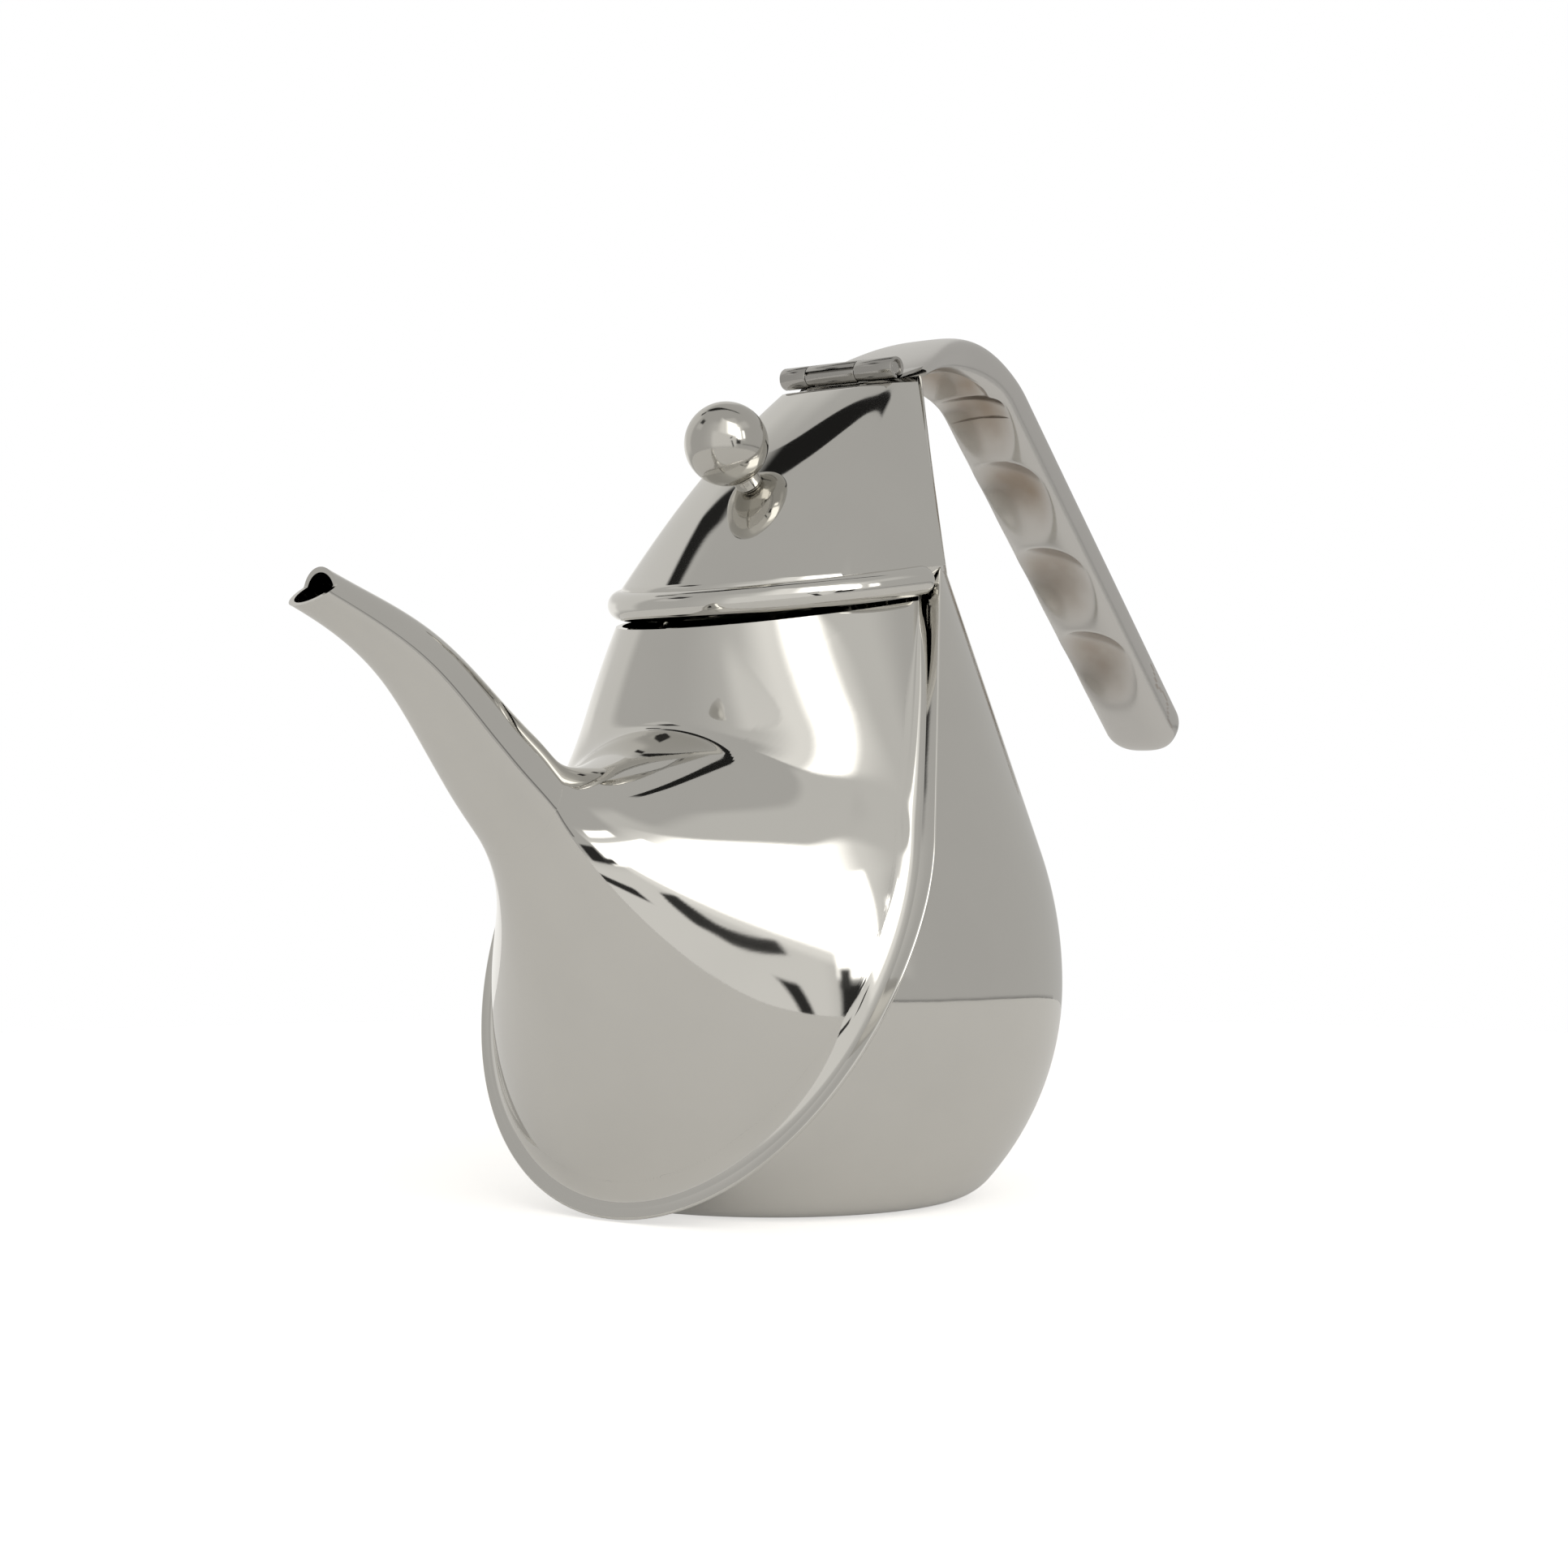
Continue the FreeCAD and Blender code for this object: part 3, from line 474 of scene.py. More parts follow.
def neck_edge(inset, columns):
    """Turns and leans at even steps along the neck's top edge, from one end at the seam to the other."""
    start = NECK_TOP - BEAD_FORWARD * ((NECK_TOP - SEAM_FOOT) @ SEAM_OUT / (BEAD_FORWARD @ SEAM_OUT))

    def at(spread):
        way = np.cos(spread)[:, None] * ACROSS + np.sin(spread)[:, None] * BEAD_FORWARD

        def place(reach):
            point = start + way * reach[:, None] - SEAM_FOOT
            return np.stack([point @ ACROSS, point @ SEAM_UP, point @ SEAM_OUT], -1)

        def within(reach):
            return front_distance(*np.moveaxis(place(reach), -1, 0)) < -inset

        return place(halve(np.zeros(len(spread)), np.full(len(spread), NECK_REACH), within, 40))

    spread = np.linspace(0, math.pi, 600)
    run = np.concatenate([[0], np.cumsum(np.linalg.norm(np.diff(at(spread), axis=0), axis=1))])
    ray = unit(at(np.interp(np.linspace(0, run[-1], columns + 1), run, spread)) - EYE)
    return np.arctan2(ray @ RAY_UP, ray @ RAY_SIDE), np.arccos(ray @ ROOT_WAY)


def front_grid(inset, rows=150, neck_columns=170, low_columns=230):
    """Rows from the spout's root out to the edges, columns spread evenly along each edge."""
    neck_turn, neck_lean = neck_edge(inset, neck_columns)
    corner = neck_turn[0]
    low_turn = np.linspace(math.pi - corner, 2 * math.pi + corner, low_columns, endpoint=False)
    edge = np.concatenate([neck_turn[:-1], low_turn])
    last = np.concatenate([neck_lean[:-1], lean_limit(low_turn, inset, before_seam)])
    upper = np.linspace(ROOT_CORNER, math.pi - ROOT_CORNER, neck_columns, endpoint=False)
    lower = np.linspace(math.pi - ROOT_CORNER, 2 * math.pi + ROOT_CORNER, low_columns, endpoint=False)
    root = np.concatenate([upper, lower])
    first = lean_limit(root, inset, at_root)

    def skin(share):
        return front_points(root + (edge - root) * share, first + (last - first) * share, inset)

    even = np.linspace(0, 1, rows)
    steps = np.linalg.norm(np.diff(skin(even[:, None] * np.ones(len(root))), axis=0), axis=-1)
    run = np.vstack([0 * root, np.cumsum(steps, axis=0)])
    run = run / run[-1]
    points = skin(np.stack([np.interp(even, run[:, j], even) for j in range(len(root))], 1))
    return seam(points[..., 0], points[..., 1], points[..., 2])


def flange_path(top):
    """Points round the seam's outline from one top corner to the other, with directions inward."""
    bowl = np.radians(np.linspace(-90, 0, 90))[:-1]
    bend = np.linspace(0, SIDE, 14)[:-1]
    rise = np.linspace(SEAM_LOW + SIDE_RISE, top, 44)
    a = np.concatenate([
        SEAM_HALF * np.cos(bowl),
        SEAM_HALF - SEAM_ARC + SEAM_ARC * np.cos(bend),
        outline(rise),
    ])
    b = np.concatenate([
        SEAM_LOW + SEAM_LOW * np.sin(bowl),
        SEAM_LOW + SEAM_ARC * np.sin(bend),
        rise,
    ])
    path = np.concatenate([np.stack([-a, b], 1)[:0:-1], np.stack([a, b], 1)])
    along = unit(np.gradient(path, axis=0))
    return path, np.stack([-along[:, 1], along[:, 0]], 1)


# The flange's inner corner is softest low down and sharpens over a fade below the top.
FLANGE_TOP, FLANGE_SEARCH = REAR_TOP - 0.1, 14.0
FILLET_LEAST, FILLET_ADDED, FILLET_RUN = 0.5, 2.6, 2.1
FILLET_TOP, FILLET_FADE = 133.5, 26.0


def flange_strip():
    """The turned flange: soft inner corner, flat face and round edge, closed inside the wall."""
    path, inward = flange_path(FLANGE_TOP / SEAM_UP[2])
    fillet = GAUGE + FILLET_LEAST + FILLET_ADDED * ease((FILLET_TOP - path[:, 1]) / FILLET_FADE)

    def wall_at(height):
        def outside(t):
            at = path + inward * t[:, None]
            return front_distance(at[:, 0], at[:, 1], height) > 0

        return halve(np.zeros(len(path)), np.full(len(path), FLANGE_SEARCH), outside, 40)

    high, foot = wall_at(fillet), wall_at(np.full(len(path), GAUGE))
    run = np.minimum(FILLET_RUN, foot * 0.5)
    rows = []
    for s in np.linspace(0, 1, 15):
        across = high * (1 - s) ** 2 + foot * 2 * s * (1 - s) + (foot - run) * s * s
        rows.append((across, fillet * (1 - s) ** 2 + GAUGE * (1 - (1 - s) ** 2)))
    for s in np.linspace(0, math.pi, 11):
        across = FLANGE_EDGE * (1 - math.sin(s))
        rows.append((across + 0 * foot, GAUGE / 2 + GAUGE / 2 * math.cos(s) + 0 * foot))
    rows.append((foot + 2.4, 0 * foot))
    rows.append((high + 0.5, np.minimum(fillet, 1.6)))
    strip = [seam(path[:, 0] + inward[:, 0] * t, path[:, 1] + inward[:, 1] * t, c) for t, c in rows]
    points, faces = grid(np.array(strip), loop_rows=True)
    index = np.arange(len(points)).reshape(len(rows), -1)
    half = len(rows) // 2
    for column in (0, -1):
        ladder = np.stack([index[:half, column], index[half:2 * half, column][::-1]])
        faces = np.vstack([faces, quads(ladder)])
    return points, faces


FRONT_SHEET = plate(front_grid(0), front_grid(GAUGE), True)
piece("front_shell", KETTLE, POLISHED, [FRONT_SHEET, flange_strip()])

# Spout: round sections along an S-shaped path, opened at the end as a beak.

SPOUT = np.array([
    # in front of the seam plane, up the plane, radius
    (ROOT, ROOT_HEIGHT, 10.45),
    (73.0, 67.6, 8.60),
    (91.0, 73.2, 6.60),
    (111.0, 74.3, 4.60),
    (127.0, 73.35, 4.30),
    (134.0, 72.9, 4.25),
])
SPOUT_SLOPES = [(ROOT_RISE, -0.113), (-0.06, -0.01)]
# The rings turn square to the path, and lose the root's oval, over these runs past the root.
SQUARE_RUN, OVAL_RUN, STEP = 12.0, 20.0, 0.05
BEAK_START = 105.0
BEAK_HEIGHTS, BEAK_REACHES = (112.8, 117.2, 140.0), (131.2, 124.2, 124.6)


def beak_limit(height):
    """How far out the spout runs at a height: short above, with a longer lower lip."""
    return np.interp(height, BEAK_HEIGHTS, BEAK_REACHES)


def spout_grid(inset, columns=72, rows=96):
    path = spline(SPOUT[:, 0], SPOUT[:, 1:], SPOUT_SLOPES)
    turn = np.linspace(0, 2 * math.pi, columns, endpoint=False)

    def ring(c, turn):
        b, radius = np.moveaxis(path(c), -1, 0)
        ahead = path(c + STEP)[..., 0]
        slope = np.arctan2(ahead - b, STEP) * ease((c - ROOT) / SQUARE_RUN)
        oval = 1 + (ROOT_TALL / ROOT_WIDE - 1) * 0.5 * (1 - ease((c - ROOT) / OVAL_RUN))
        side = (radius - inset) / oval * np.cos(turn)
        up = (radius - inset) * oval * np.sin(turn)
        return seam(side, b + up * np.cos(slope), c - up * np.sin(slope))

    def short(c):
        at = ring(c, turn)
        return at[:, 0] < beak_limit(at[:, 2])

    end = halve(np.full(columns, BEAK_START), np.full(columns, SPOUT[-1, 0]), short, 40)
    c = ROOT + (end - ROOT) * np.linspace(0, 1, rows)[:, None]
    return ring(c, np.broadcast_to(turn, c.shape))


piece("spout", KETTLE, POLISHED, [plate(spout_grid(0), spout_grid(GAUGE), True)])

# Lid: a sheet ruled from a flat edge at the hinge to the curved rim.

LID_HEIGHT = 167.8
LID_TOP = seam_at_height(LID_HEIGHT)
LID_HALF, LID_TOP_HALF = 36.4, 16.0
LID_REACHES = (38.75, 32.1, 28.0, 12.0)
LID_SQUARER, CROWN_LIFT, SEAM_CLEAR = 0.88, 0.5, 1.3


def lid_grid(inset, rows=70, columns=180):
    """From the lower edge behind the bead, up past the rim and over the flat crown."""
    share = np.linspace(0, 1, rows)[:, None]
    turn = np.linspace(0, math.pi, columns)
    power = 2 / (2 + LID_SQUARER * share)
    half = LID_HALF + (LID_TOP_HALF - LID_HALF) * share - inset
    reach = bezier(LID_REACHES, share) - inset
    side = half * np.sign(np.cos(turn)) * np.abs(np.cos(turn)) ** power
    ahead = reach * np.abs(np.sin(turn)) ** power
    centre = RIM_REAR + (LID_TOP - RIM_REAR) * share[..., None] - RIM_UP * inset * share[..., None]
    wall = centre + side[..., None] * ACROSS + ahead[..., None] * RIM_FORWARD
    edge_side, edge_ahead = (BEAD_HALF - inset) * np.cos(turn), (BEAD_REACH - inset) * np.sin(turn)
    edge = BEAD_REAR + edge_side[:, None] * ACROSS + edge_ahead[:, None] * BEAD_FORWARD
    skirt = edge + (wall[0] - edge) * np.linspace(0, 1, 7)[:-1, None, None]
    behind = np.maximum(SEAM_CLEAR - (skirt - SEAM_FOOT) @ SEAM_OUT, 0.0)
    skirt = skirt + behind[..., None] * SEAM_OUT
    middle = LID_TOP - RIM_UP * inset
    crown = []
    for s in np.linspace(0, 1, 12)[1:]:
        lift = CROWN_LIFT * (1 - math.cos(min(1, s * 3) * math.pi / 2))
        crown.append(middle + (wall[-1] - middle) * (1 - s) + RIM_UP * lift)
    return np.concatenate([skirt, wall, np.array(crown)])


piece("lid_shell", LID, POLISHED, [plate(lid_grid(0), lid_grid(GAUGE))])

# The bead stops an angle short of the lid's rear edge at both ends, and is flat toward the lid.
BEAD_TRIM, BEAD_BACK = 0.141, 0.15


def bead_grid(columns=36):
    """A half-round rod along the lid's lower edge with domed ends."""
    turn = np.linspace(BEAD_TRIM, math.pi - BEAD_TRIM, 170)
    side, ahead = np.cos(turn)[:, None] * BEAD_HALF, np.sin(turn)[:, None] * BEAD_REACH
    path = BEAD_REAR + side * ACROSS + ahead * BEAD_FORWARD
    along = unit(np.gradient(path, axis=0))
    dome = np.linspace(math.pi / 2, 0, 9)[:-1]
    radius = np.concatenate([np.cos(dome), np.ones(len(path)), np.cos(dome)[::-1]]) * BEAD
    first = path[:1] - along[:1] * np.sin(dome)[:, None] * BEAD
    last = path[-1:] + along[-1:] * np.sin(dome)[::-1, None] * BEAD
    path = np.concatenate([first, path, last])
    starts, stops = (np.repeat(along[i][None], len(dome), 0) for i in (0, -1))
    along = np.concatenate([starts, along, stops])
    inward = unit(np.cross(along, BEAD_UP))
    spin = np.linspace(0, 2 * math.pi, columns, endpoint=False)
    back = np.minimum(np.cos(spin), BEAD_BACK)[:, None] * inward[:, None, :]
    ring = back + np.sin(spin)[:, None] * BEAD_UP
    return path[:, None] + radius[:, None, None] * ring


round_piece("lid_bead", LID, POLISHED, bead_grid())

# Knob.

LID_LINE = LID_TOP + RIM_FORWARD * LID_REACHES[-1] - RIM_REAR - RIM_FORWARD * LID_REACHES[0]
KNOB_WAY = unit(np.array([LID_LINE[2], 0.0, -LID_LINE[0]]))
KNOB = np.array([15.4, 0.0, 152.0])
BALL, STEM = 8.5, 2.8
# Heights along the knob's axis, from the middle of the ball.
BALL_SEAT, STEM_FOOT, STEM_FLARE = -8.0, -10.9, 0.9
SCREW, SCREW_HEAD, SCREW_TIP, SCREW_SEAT = 1.4, 3.0, -8.2, -11.4


def ball_profile():
    turn = np.radians(np.linspace(90, -70, 60))
    ball = np.stack([BALL * np.cos(turn), BALL * np.sin(turn)], 1)
    return np.vstack([ball, [(2.0, BALL_SEAT), (0.0, BALL_SEAT)]])


def stem_profile():
    rows = [(0, BALL_SEAT), (STEM - 0.3, BALL_SEAT), (STEM, BALL_SEAT - 0.3), (STEM, STEM_FOOT + 1.0)]
    for s in np.linspace(0, math.pi / 2, 6):
        rows.append((STEM + STEM_FLARE * (1 - math.cos(s)), STEM_FOOT + STEM_FLARE * (1 - math.sin(s))))
    rows.append((0, STEM_FOOT))
    return rows


def screw_profile():
    shank = [(0, SCREW_TIP), (SCREW, SCREW_TIP), (SCREW, SCREW_SEAT + 0.4), (SCREW, SCREW_SEAT)]
    head = [(0.0, 0.0), (0.0, -0.6), (-0.3, -1.1), (-SCREW_HEAD, -1.5)]
    return shank + [(SCREW_HEAD + r, SCREW_SEAT + h) for r, h in head]


round_piece("knob_ball", LID, BUFFED, turned(ball_profile(), KNOB, KNOB_WAY, 96))
round_piece("knob_stem", LID, POLISHED, turned(stem_profile(), KNOB, KNOB_WAY, 48))
round_piece("knob_screw", LID, TURNED, turned(screw_profile(), KNOB, KNOB_WAY, 40))

# Back wall: a half cone behind the seam plane, round at the rear shell's rim and flat under the tongue.

WALL_HEIGHT, WALL_CROWN, WALL_CLEAR = 169.4, 3.0, 0.4


def wall_grid(inset, rows=40, columns=90):
    share = np.linspace(0, 1, columns)
    radius = rear_top_radius() - inset
    edge = seam_at_height(REAR_TOP)[0]
    half = math.acos(-edge / radius)
    turn = math.pi - half + 2 * half * share
    low = np.stack([radius * np.cos(turn), radius * np.sin(turn), np.full(columns, REAR_TOP)], 1)
    crown = seam_at_height(WALL_HEIGHT)
    spread = math.pi * share
    deep, wide = WALL_CROWN - inset, LID_TOP_HALF - inset
    high = crown + np.stack([-deep * np.sin(spread), wide * np.cos(spread), 0 * spread], 1)
    rise = np.linspace(0, 1, rows)[:, None, None]
    clear = WALL_CLEAR * np.abs(np.cos(spread))[:, None] ** 8
    return low + (high - low) * rise - SEAM_OUT * clear


piece("back_wall", KETTLE, POLISHED, [plate(wall_grid(0), wall_grid(GAUGE))])

# Hinge: rolled knuckles on a pin.

HINGE = np.array([-22.0, 0.0, 170.3])
KNUCKLE, PIN, PIN_CLEAR, PIN_END = 2.35, 1.5, 0.05, 14.5
LEAF, KETTLE_LEAF, LID_LEAF = 0.8, 9.0, 0.5
# The middle knuckle runs from low to high, and the others leave a gap beside it and run to the end.
KNUCKLE_LOW, KNUCKLE_HIGH, KNUCKLE_GAP, KNUCKLE_END = -7.9, 4.9, 0.15, 14.8
BEVEL, BEVEL_SHARE = 0.25, 0.7


def knuckle_grid(low, high, way, length):
    """A sheet rolled round the pin, with its leaf running off along way."""
    way = unit(np.asarray(way, float))
    side = np.cross(way, ACROSS)
    roll = np.radians(np.linspace(90, -250, 60))
    outer = np.stack([np.cos(roll) * KNUCKLE, np.sin(roll) * KNUCKLE], 1)
    inner = np.stack([np.cos(roll) * (PIN + PIN_CLEAR), np.sin(roll) * (PIN + PIN_CLEAR)], 1)
    leaf = [(length, KNUCKLE), (length, KNUCKLE - LEAF)]
    outline_points = np.vstack([outer[::-1], leaf, inner])
    middle = (outer + inner) / 2
    centre_line = np.vstack([middle[::-1], [(length, KNUCKLE - LEAF / 2)] * 2, middle])
    rows = []
    for at, share in ((low, BEVEL_SHARE), (low + BEVEL, 1.0), (high - BEVEL, 1.0), (high, BEVEL_SHARE)):
        flat = centre_line + (outline_points - centre_line) * share
        rows.append(HINGE + ACROSS * at + flat[:, :1] * way + flat[:, 1:] * side)
    points, faces = grid(np.array(rows), loop_columns=True)
    index = np.arange(len(points)).reshape(len(rows), -1)
    count = len(outline_points)
    for row in (0, -1):
        ladder = np.stack([index[row, :count // 2], index[row, count // 2:][::-1]])
        faces = np.vstack([faces, quads(ladder)])
    return points, faces


BACKWARD, DOWNWARD = (-0.93, 0.0, 0.3), (0, 0, -1)
FAR_KNUCKLE = knuckle_grid(-KNUCKLE_END, KNUCKLE_LOW - KNUCKLE_GAP, BACKWARD, KETTLE_LEAF)
NEAR_KNUCKLE = knuckle_grid(KNUCKLE_HIGH + KNUCKLE_GAP, KNUCKLE_END, BACKWARD, KETTLE_LEAF)
MIDDLE_KNUCKLE = knuckle_grid(KNUCKLE_LOW, KNUCKLE_HIGH, DOWNWARD, LID_LEAF)
piece("hinge_far", KETTLE, TURNED, [FAR_KNUCKLE])
piece("hinge_near", KETTLE, TURNED, [NEAR_KNUCKLE])
piece("hinge_middle", LID, TURNED, [MIDDLE_KNUCKLE])


def pin_profile():
    tip = [(0, PIN_END), (0.9, PIN_END), (1.2, PIN_END - 0.05), (PIN, PIN_END - 0.3)]
    return tip + [(r, -h) for r, h in tip[::-1]]


round_piece("hinge_pin", KETTLE, TURNED, turned(pin_profile(), HINGE, ACROSS, 40))

# Handle: a tongue that bends back into a grip pressed in two halves.

GRIP_ANGLE = 46.75
GRIP_TOP, GRIP_DOWN = np.array([-75.2, 0.0, 167.9]), -direction(GRIP_ANGLE)
GRIP_LENGTH, CAP_LENGTH = 92.4, 8.5
GRIP_WIDTH, GRIP_DEPTH, GRIP_TAPER = 19.0, 12.6, 0.94
FINGERS = (-1.0, 21.1, 46.4, 71.7)
FINGER_DEPTH, FINGER_REACH = 4.2, 22.0
FINGER_ABOVE, FINGER_BELOW, FINGER_SHIFT = 12.5, 21.5, 1.6
FINGER_CRISP, FINGER_SOFT = 0.35, 1.1
# Toward the grip's top the section grows rounder and fuller, and the end cap has a round nose.
ROUNDING, TONGUE_SQUARE, GRIP_ROUNDER, GRIP_FULLER = 30.0, 3.4, 0.8, 0.03
NOSE, NOSE_WIDTH, NOSE_DEPTH = 7.0, 6.4, 5.2
# The tongue is scooped out below. The first row is distances before the grip's top and the runs they take,
# the second is shares of the section and the softness of the edge.
SCOOP_START, SCOOP_RISE, SCOOP_END, SCOOP_FADE = 44.0, 16.0, 20.0, 20.0
SCOOP_DEPTH, SCOOP_WIDTH, SCOOP_EDGE = 0.62, 0.92, 0.5
FAR_BELOW = -99.0
WELD_START, WELD_STOP, WELD_MARK = 77.0, 95.0, 1.6
LEAVE_HINGE = math.radians(28)
BEND = np.array([
    # x, z, width, depth
    (-30.5, 170.1, 32.4, 2.6),
    (-40.6, 174.0, 28.0, 6.0),
    (-51.6, 176.0, 23.0, 9.6),
    (-63.0, 175.0, 20.0, 11.4),
    (-70.8, 171.6, 19.2, 11.8),
    (GRIP_TOP[0], GRIP_TOP[2], GRIP_WIDTH, GRIP_DEPTH),
])


def handle_path():
    """Rows of place, width and depth along the handle, with the distance past the grip's top."""
    runs = np.concatenate([[0], np.cumsum(np.hypot(*np.diff(BEND[:, :2], axis=0).T))])
    first = np.array([-math.cos(LEAVE_HINGE), math.sin(LEAVE_HINGE), -0.3, 0.3])
    last = np.array([GRIP_DOWN[0], GRIP_DOWN[2], -0.01, 0.0])
    bend = spline(runs, BEND, [first, last])
    t = np.linspace(0, runs[-1], 70)
    upper = bend(t)
    s = np.linspace(0, GRIP_LENGTH + CAP_LENGTH, 190)[1:]
    shrink = 1 - (1 - GRIP_TAPER) * np.minimum(s / GRIP_LENGTH, 1)
    place = GRIP_TOP[[0, 2]] + s[:, None] * GRIP_DOWN[[0, 2]]
    lower = np.column_stack([place, GRIP_WIDTH * shrink, GRIP_DEPTH * shrink])
    rows = np.vstack([upper, lower])
    past = np.concatenate([t - runs[-1], s])
    return rows, past


def handle_grid(columns=112):
    rows, past = handle_path()
    place = np.column_stack([rows[:, 0], 0 * past, rows[:, 1]])
    along = unit(np.gradient(place, axis=0))
    out = np.cross(ACROSS, along)
    onto_grip = ease((past[:, None] + ROUNDING) / ROUNDING)
    fuller = 1 + GRIP_FULLER * onto_grip
    width, depth = rows[:, 2:3] / 2 * fuller, rows[:, 3:4] / 2 * fuller
    left = GRIP_LENGTH + CAP_LENGTH - past[:, None]
    nose = np.sqrt(np.clip(1 - (1 - np.clip(left / NOSE, 0, 1)) ** 2, 0, 1))
    width = width - NOSE_WIDTH * (1 - nose)
    depth = depth - NOSE_DEPTH * (1 - nose)
    turn = np.linspace(0, 2 * math.pi, columns, endpoint=False)
    power = 2 / (TONGUE_SQUARE - GRIP_ROUNDER * onto_grip)
    y = width * np.sign(np.cos(turn)) * np.abs(np.cos(turn)) ** power
    q = depth * np.sign(np.sin(turn)) * np.abs(np.sin(turn)) ** power
    floor = -rows[:, 3:4] / 2
    hollow = ease((past[:, None] + SCOOP_START) / SCOOP_RISE)
    hollow = hollow * (1 - ease((past[:, None] + SCOOP_END) / SCOOP_FADE))
    scoop = floor + hollow * rows[:, 3:4] * SCOOP_DEPTH * (1 - (y / (width * SCOOP_WIDTH)) ** 2)
    carved = soft_max(q, np.where(hollow > 0.001, scoop, FAR_BELOW), SCOOP_EDGE)
    for spot in FINGERS:
        gap = past[:, None] - spot + FINGER_SHIFT
        bend = np.where(gap < 0, FINGER_ABOVE, FINGER_BELOW)
        dent = floor + FINGER_DEPTH - gap ** 2 / (2 * bend) - y ** 2 / (2 * FINGER_REACH)
        carved = soft_max(carved, dent, FINGER_CRISP + FINGER_SOFT * ease((gap + 5) / 14))
    # How deep each point lies in a dent; the satin finish paints brown shade there in proportion.
    depth_of_dent = np.clip((carved - q) / FINGER_DEPTH, 0, 1)
    points = place[:, None] + y[..., None] * ACROSS + carved[..., None] * out[:, None]
    return points, depth_of_dent, past


HANDLE, DENTS, PAST = handle_grid()

# A weld line wanders along the near side by the handle's end.
WELD_ROWS = np.flatnonzero((PAST > WELD_START) & (PAST < WELD_STOP))
WELD_SIDE = np.round(1.6 * np.sin(WELD_ROWS * 0.33) + 2.0 * np.sin(WELD_ROWS * 0.12)).astype(int)
DENTS[WELD_ROWS, WELD_SIDE % DENTS.shape[1]] = WELD_MARK


def handle_part(name, rows, columns=None):
    points, marks = HANDLE[rows], DENTS[rows]
    if columns is not None:
        points, marks = points[:, columns], marks[:, columns]
    ends = [np.repeat(points[i].mean(0)[None, None], points.shape[1], 1) for i in (0, -1)]
    whole = np.concatenate([ends[0], points, ends[1]])
    marks = np.concatenate([marks[:1], marks, marks[-1:]])
    piece(name, KETTLE, SATIN, [grid(whole, loop_columns=True)], marks.ravel())


GRIP_START = int(np.searchsorted(PAST, -1e-6))
GRIP_STOP = int(np.searchsorted(PAST, GRIP_LENGTH))
SIDES = HANDLE.shape[1]
handle_part("handle_bracket", slice(0, GRIP_START + 1))
handle_part("handle_outer", slice(GRIP_START, GRIP_STOP + 1), np.arange(0, SIDES // 2 + 1))
handle_part("handle_inner", slice(GRIP_START, GRIP_STOP + 1), np.r_[SIDES // 2:SIDES, 0])
handle_part("handle_cap", slice(GRIP_STOP, len(PAST)))

# Floor, light and camera.

WHITE, ROOM_WHITE = (1.0, 1.0, 1.0, 1.0), (1.0, 0.985, 0.95, 1.0)
ROOM_LEVEL, SPOUT_SIDE_ADDED = 0.51, 0.18
DEGREES = 180 / math.pi


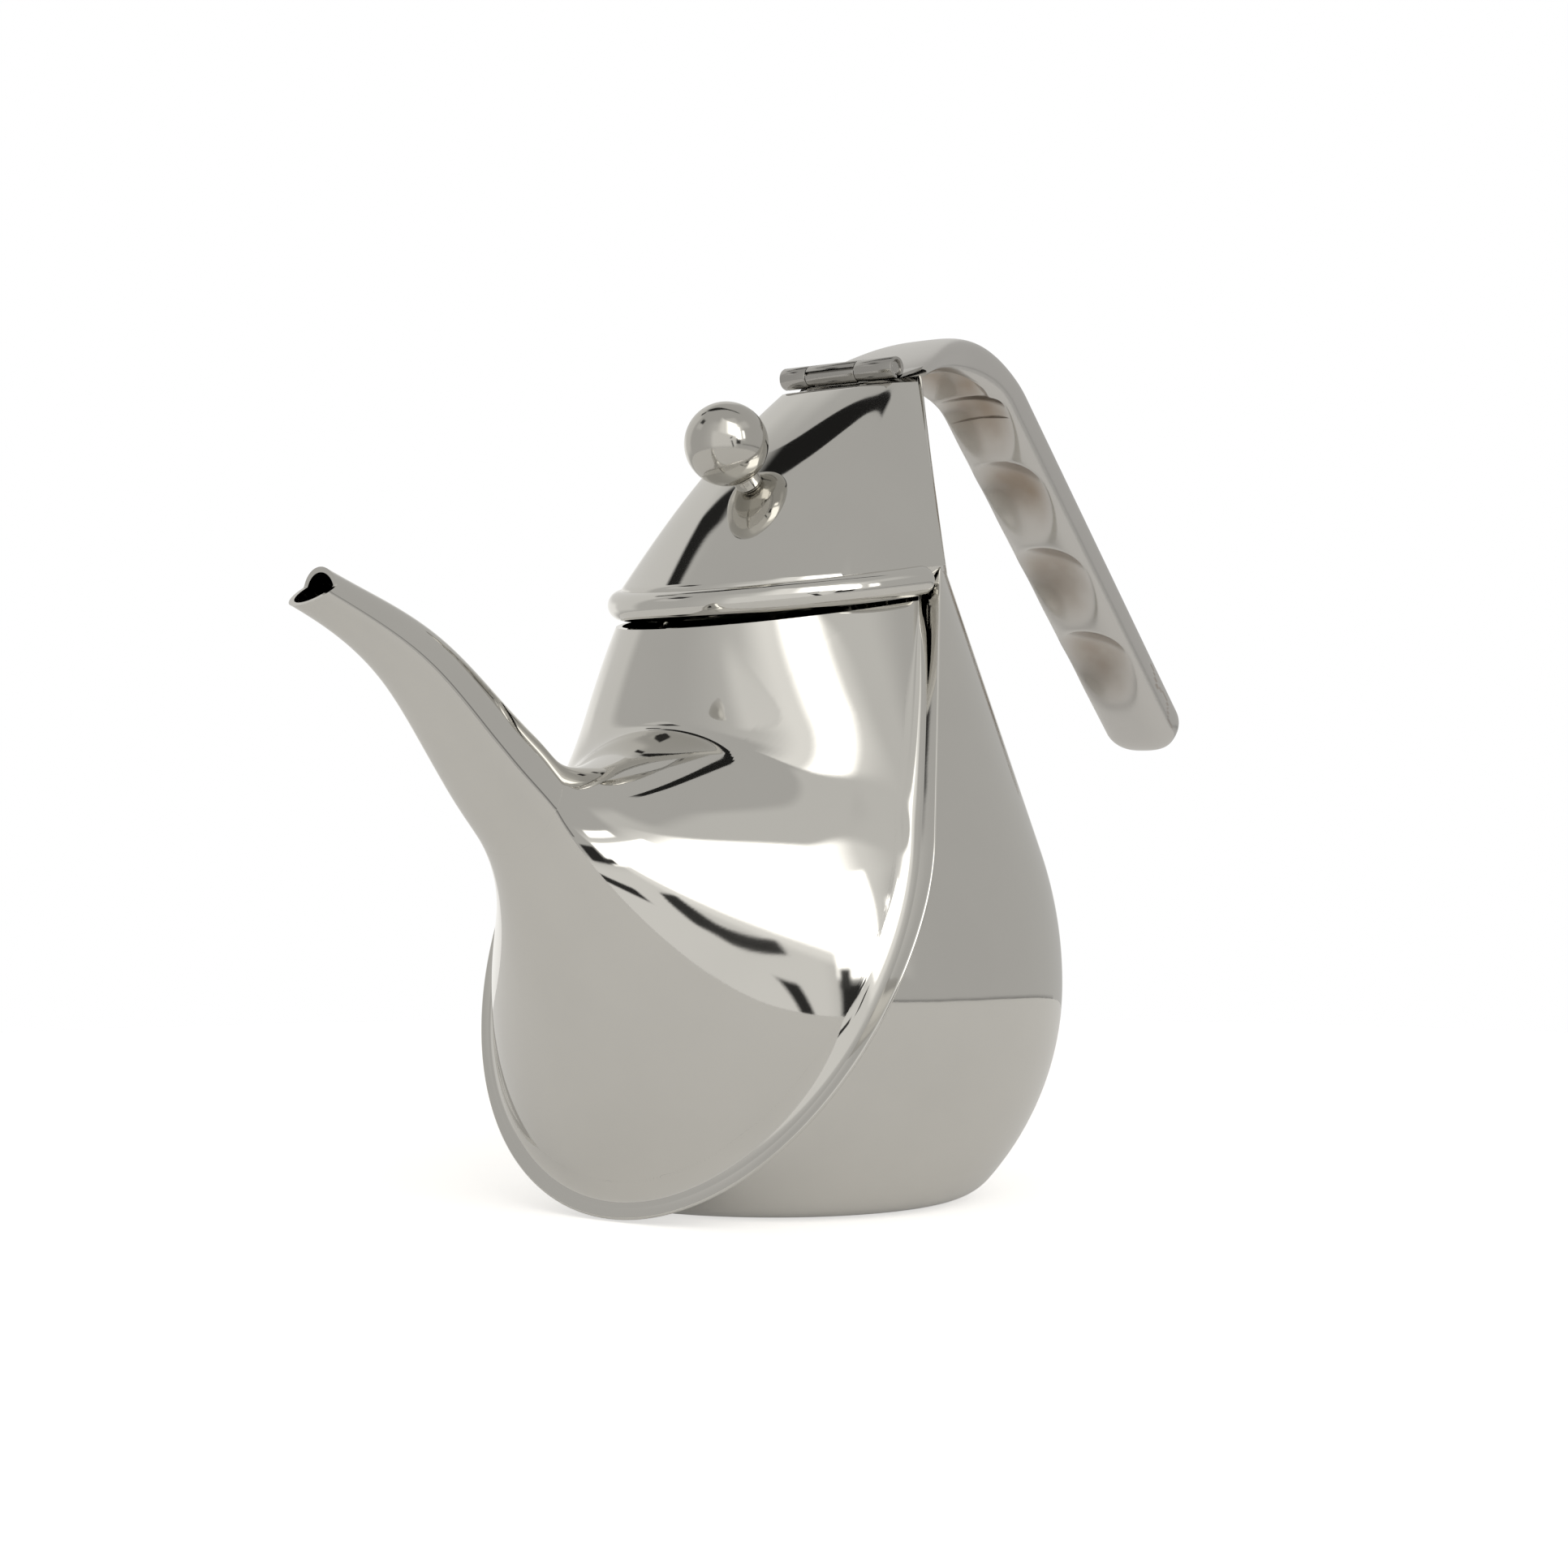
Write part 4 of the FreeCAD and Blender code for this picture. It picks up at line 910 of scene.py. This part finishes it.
def studio():
    """White to the camera. The steel mirrors a pale room with windows, boards and a dark beam."""
    world = bpy.data.worlds.new("studio")
    bpy.context.scene.world = world
    world.use_nodes = True
    world.node_tree.nodes.clear()
    base = Shade(world.node_tree)
    ray = base.node("ShaderNodeTexCoord", {}, {}, "Generated")
    x, y, z = (base.node("ShaderNodeSeparateXYZ", {}, {0: ray}, axis) for axis in "XYZ")
    rise = base.math("ARCSINE", z) * DEGREES

    def around(centre):
        """Azimuth from centre, in degrees."""
        c, s = math.cos(math.radians(centre)), math.sin(math.radians(centre))
        return base.math("ARCTAN2", y * c - x * s, x * c + y * s) * DEGREES

    def patch(low_turn, high_turn, low, high, soft, crisp=None, lean=0.0, droop=0.0):
        """A panel between two azimuths and two heights. lean tips its sides, droop its other edges."""
        centre, half = (low_turn + high_turn) / 2, (high_turn - low_turn) / 2
        fade = soft if crisp is None else crisp
        turn = around(centre)
        height = rise + turn * droop
        sides = abs(turn - rise * lean).step(half + soft, half - soft)
        return sides * height.step(low - fade, low + fade) * height.step(high + fade, high - fade)

    def beam():
        """Dark curved beam on the ceiling, widest toward the far side."""
        up = base.math("MAXIMUM", z, 0.05)
        ahead, side = base.math("DIVIDE", x, up), base.math("DIVIDE", y, up)
        middle = -0.10 - (side + 0.45) * (side + 0.45) * 0.47
        width = 0.036 + abs(side + 0.5).step(0.5, 0.0, 0.082)
        across = base.math("DIVIDE", abs(ahead - middle), width)
        ends = side.step(-0.86, -0.74) * side.step(0.3, 0.22)
        return across.step(1.06, 0.94) * ends

    level = ROOM_LEVEL + patch(-5, 40, -12, 52, 30.0, 8.0) * SPOUT_SIDE_ADDED
    panels = (
        # Walls: high on the near side, then the far side, then low toward the spout.
        (patch(40, 118, 34, 50, 10.0, 4.0), 0.66),
        (patch(40, 86, 46, 65, 6.0, 2.5), 0.65),
        (patch(-150, -75, -8, 46, 6.0), 0.70),
        (patch(-150, -104, -8, 10, 5.0), 0.95),
        (patch(0, 68, -14, 28, 6.0), 0.80),
        # Windows on the near side, the first with a soft glow round it.
        (patch(20, 86, 15, 55.5, 12.0, 1.5, droop=0.34), 1.0),
        (patch(44, 76, 16, 52.8, 7.0, 1.5, droop=0.34), 2.4),
        (patch(67, 82, 6, 38, 1.0), 2.4),
        (patch(87, 93, 9, 28, 1.5), 2.4),
        # Dark posts and boards in front of the near side's lower half.
        (patch(53.6, 57.4, -14, 3, 0.8, lean=-0.32), 0.03),
        (patch(50.4, 57.0, 8.8, 12.4, 0.6, droop=-0.6), 0.04),
        (patch(67.5, 79, -5.5, 4.5, 1.2), 0.03),
        (patch(67.5, 71, 3, 9, 1.0), 0.05),
        # High on the far side: a paler board under a dark one, and another dark one beside them.
        (patch(-64, -42, 28, 39, 3.0), 0.62),
        (patch(-62, -45, 39.3, 48, 1.0), 0.04),
        (patch(-98, -89.5, 42.5, 50.5, 1.0), 0.02),
        # A thin grey rail low round the handle's side, and the beam.
        (patch(85, 185, -6.6, -4.6, 0.5), 0.22),
        (beam(), 0.015),
    )
    for mask, bright in panels:
        level = level * (1 - mask) + mask * bright
    seen = base.node("ShaderNodeLightPath", {}, {}, "Is Camera Ray")
    room = base.node("ShaderNodeBackground", {}, {"Color": ROOM_WHITE, "Strength": level})
    plain = base.node("ShaderNodeBackground", {}, {"Color": WHITE, "Strength": 1.0})
    both = base.node("ShaderNodeMixShader", {}, {0: seen, 1: room, 2: plain})
    base.node("ShaderNodeOutputWorld", {}, {"Surface": both})


TABLE_TOP, TABLE_UNDER, TABLE_RADII = -0.3, -8.0, (0, 60, 150, 520)
SEEN_GLOW, MIRRORED_GLOW = 0.6, 0.12


def table():
    """Pale round table top that stays white round the kettle and keeps its shadow."""
    mesh = bpy.data.meshes.new("table_top")
    profile = [(radius, TABLE_TOP) for radius in TABLE_RADII]
    profile += [(TABLE_RADII[-1], TABLE_UNDER), (0, TABLE_UNDER)]
    rings = turned(profile, (0, 0, 0), (0, 0, 1), 96)
    points, faces = grid(rings, loop_columns=True)
    mesh.from_pydata((points * MM).tolist(), [], faces.tolist())
    made = bpy.data.objects.new("table_top", mesh)
    bpy.context.scene.collection.objects.link(made)
    paint = bpy.data.materials.new("table_paint")
    paint.use_nodes = True
    paint.node_tree.nodes.clear()
    base = Shade(paint.node_tree)
    seen = base.node("ShaderNodeLightPath", {}, {}, "Is Camera Ray")
    mirrored = base.node("ShaderNodeLightPath", {}, {}, "Is Glossy Ray")
    matt = base.node("ShaderNodeBsdfDiffuse", {}, {"Color": grey(0.78, 0.01)})
    light = (seen * SEEN_GLOW + mirrored * MIRRORED_GLOW).mix(grey(0.0), grey(1.0, 0.01))
    glow = base.node("ShaderNodeEmission", {}, {"Color": light, "Strength": 1.0})
    both = base.node("ShaderNodeAddShader", {}, {0: matt, 1: glow})
    base.node("ShaderNodeOutputMaterial", {}, {"Surface": both})
    mesh.materials.append(paint)


# The view stands off from a target inside the kettle, turned from the near side toward the spout.
VIEW_TARGET = Vector((-3.0, 0.0, 79.0))
VIEW_TURN, VIEW_DISTANCE = math.radians(51), 620.0
# Sizes of the image, the focal length and the row of the horizon, in pixels.
IMAGE_WIDTH, IMAGE_HEIGHT = 1932, 1931
FOCAL, HORIZON = 3720.0, 995.0
SENSOR, CLIP = 36.0, 10.0


def camera_view():
    """Camera just below the kettle's half height, between near side and spout, aimed slightly up."""
    view = bpy.data.cameras.new("view")
    view.sensor_fit, view.sensor_width = "HORIZONTAL", SENSOR
    view.lens = SENSOR * FOCAL / IMAGE_WIDTH
    view.clip_start = CLIP * MM
    made = bpy.data.objects.new("view", view)
    away = Vector((math.sin(VIEW_TURN), math.cos(VIEW_TURN), 0.0))
    made.location = (VIEW_TARGET + away * VIEW_DISTANCE) * MM
    aim = Vector((0.0, 0.0, (HORIZON - IMAGE_HEIGHT / 2) / FOCAL)) - away
    made.rotation_euler = aim.to_track_quat("-Z", "Y").to_euler()
    bpy.context.scene.collection.objects.link(made)
    bpy.context.scene.camera = made


studio()
table()
camera_view()
bpy.context.scene.view_settings.view_transform = "Standard"
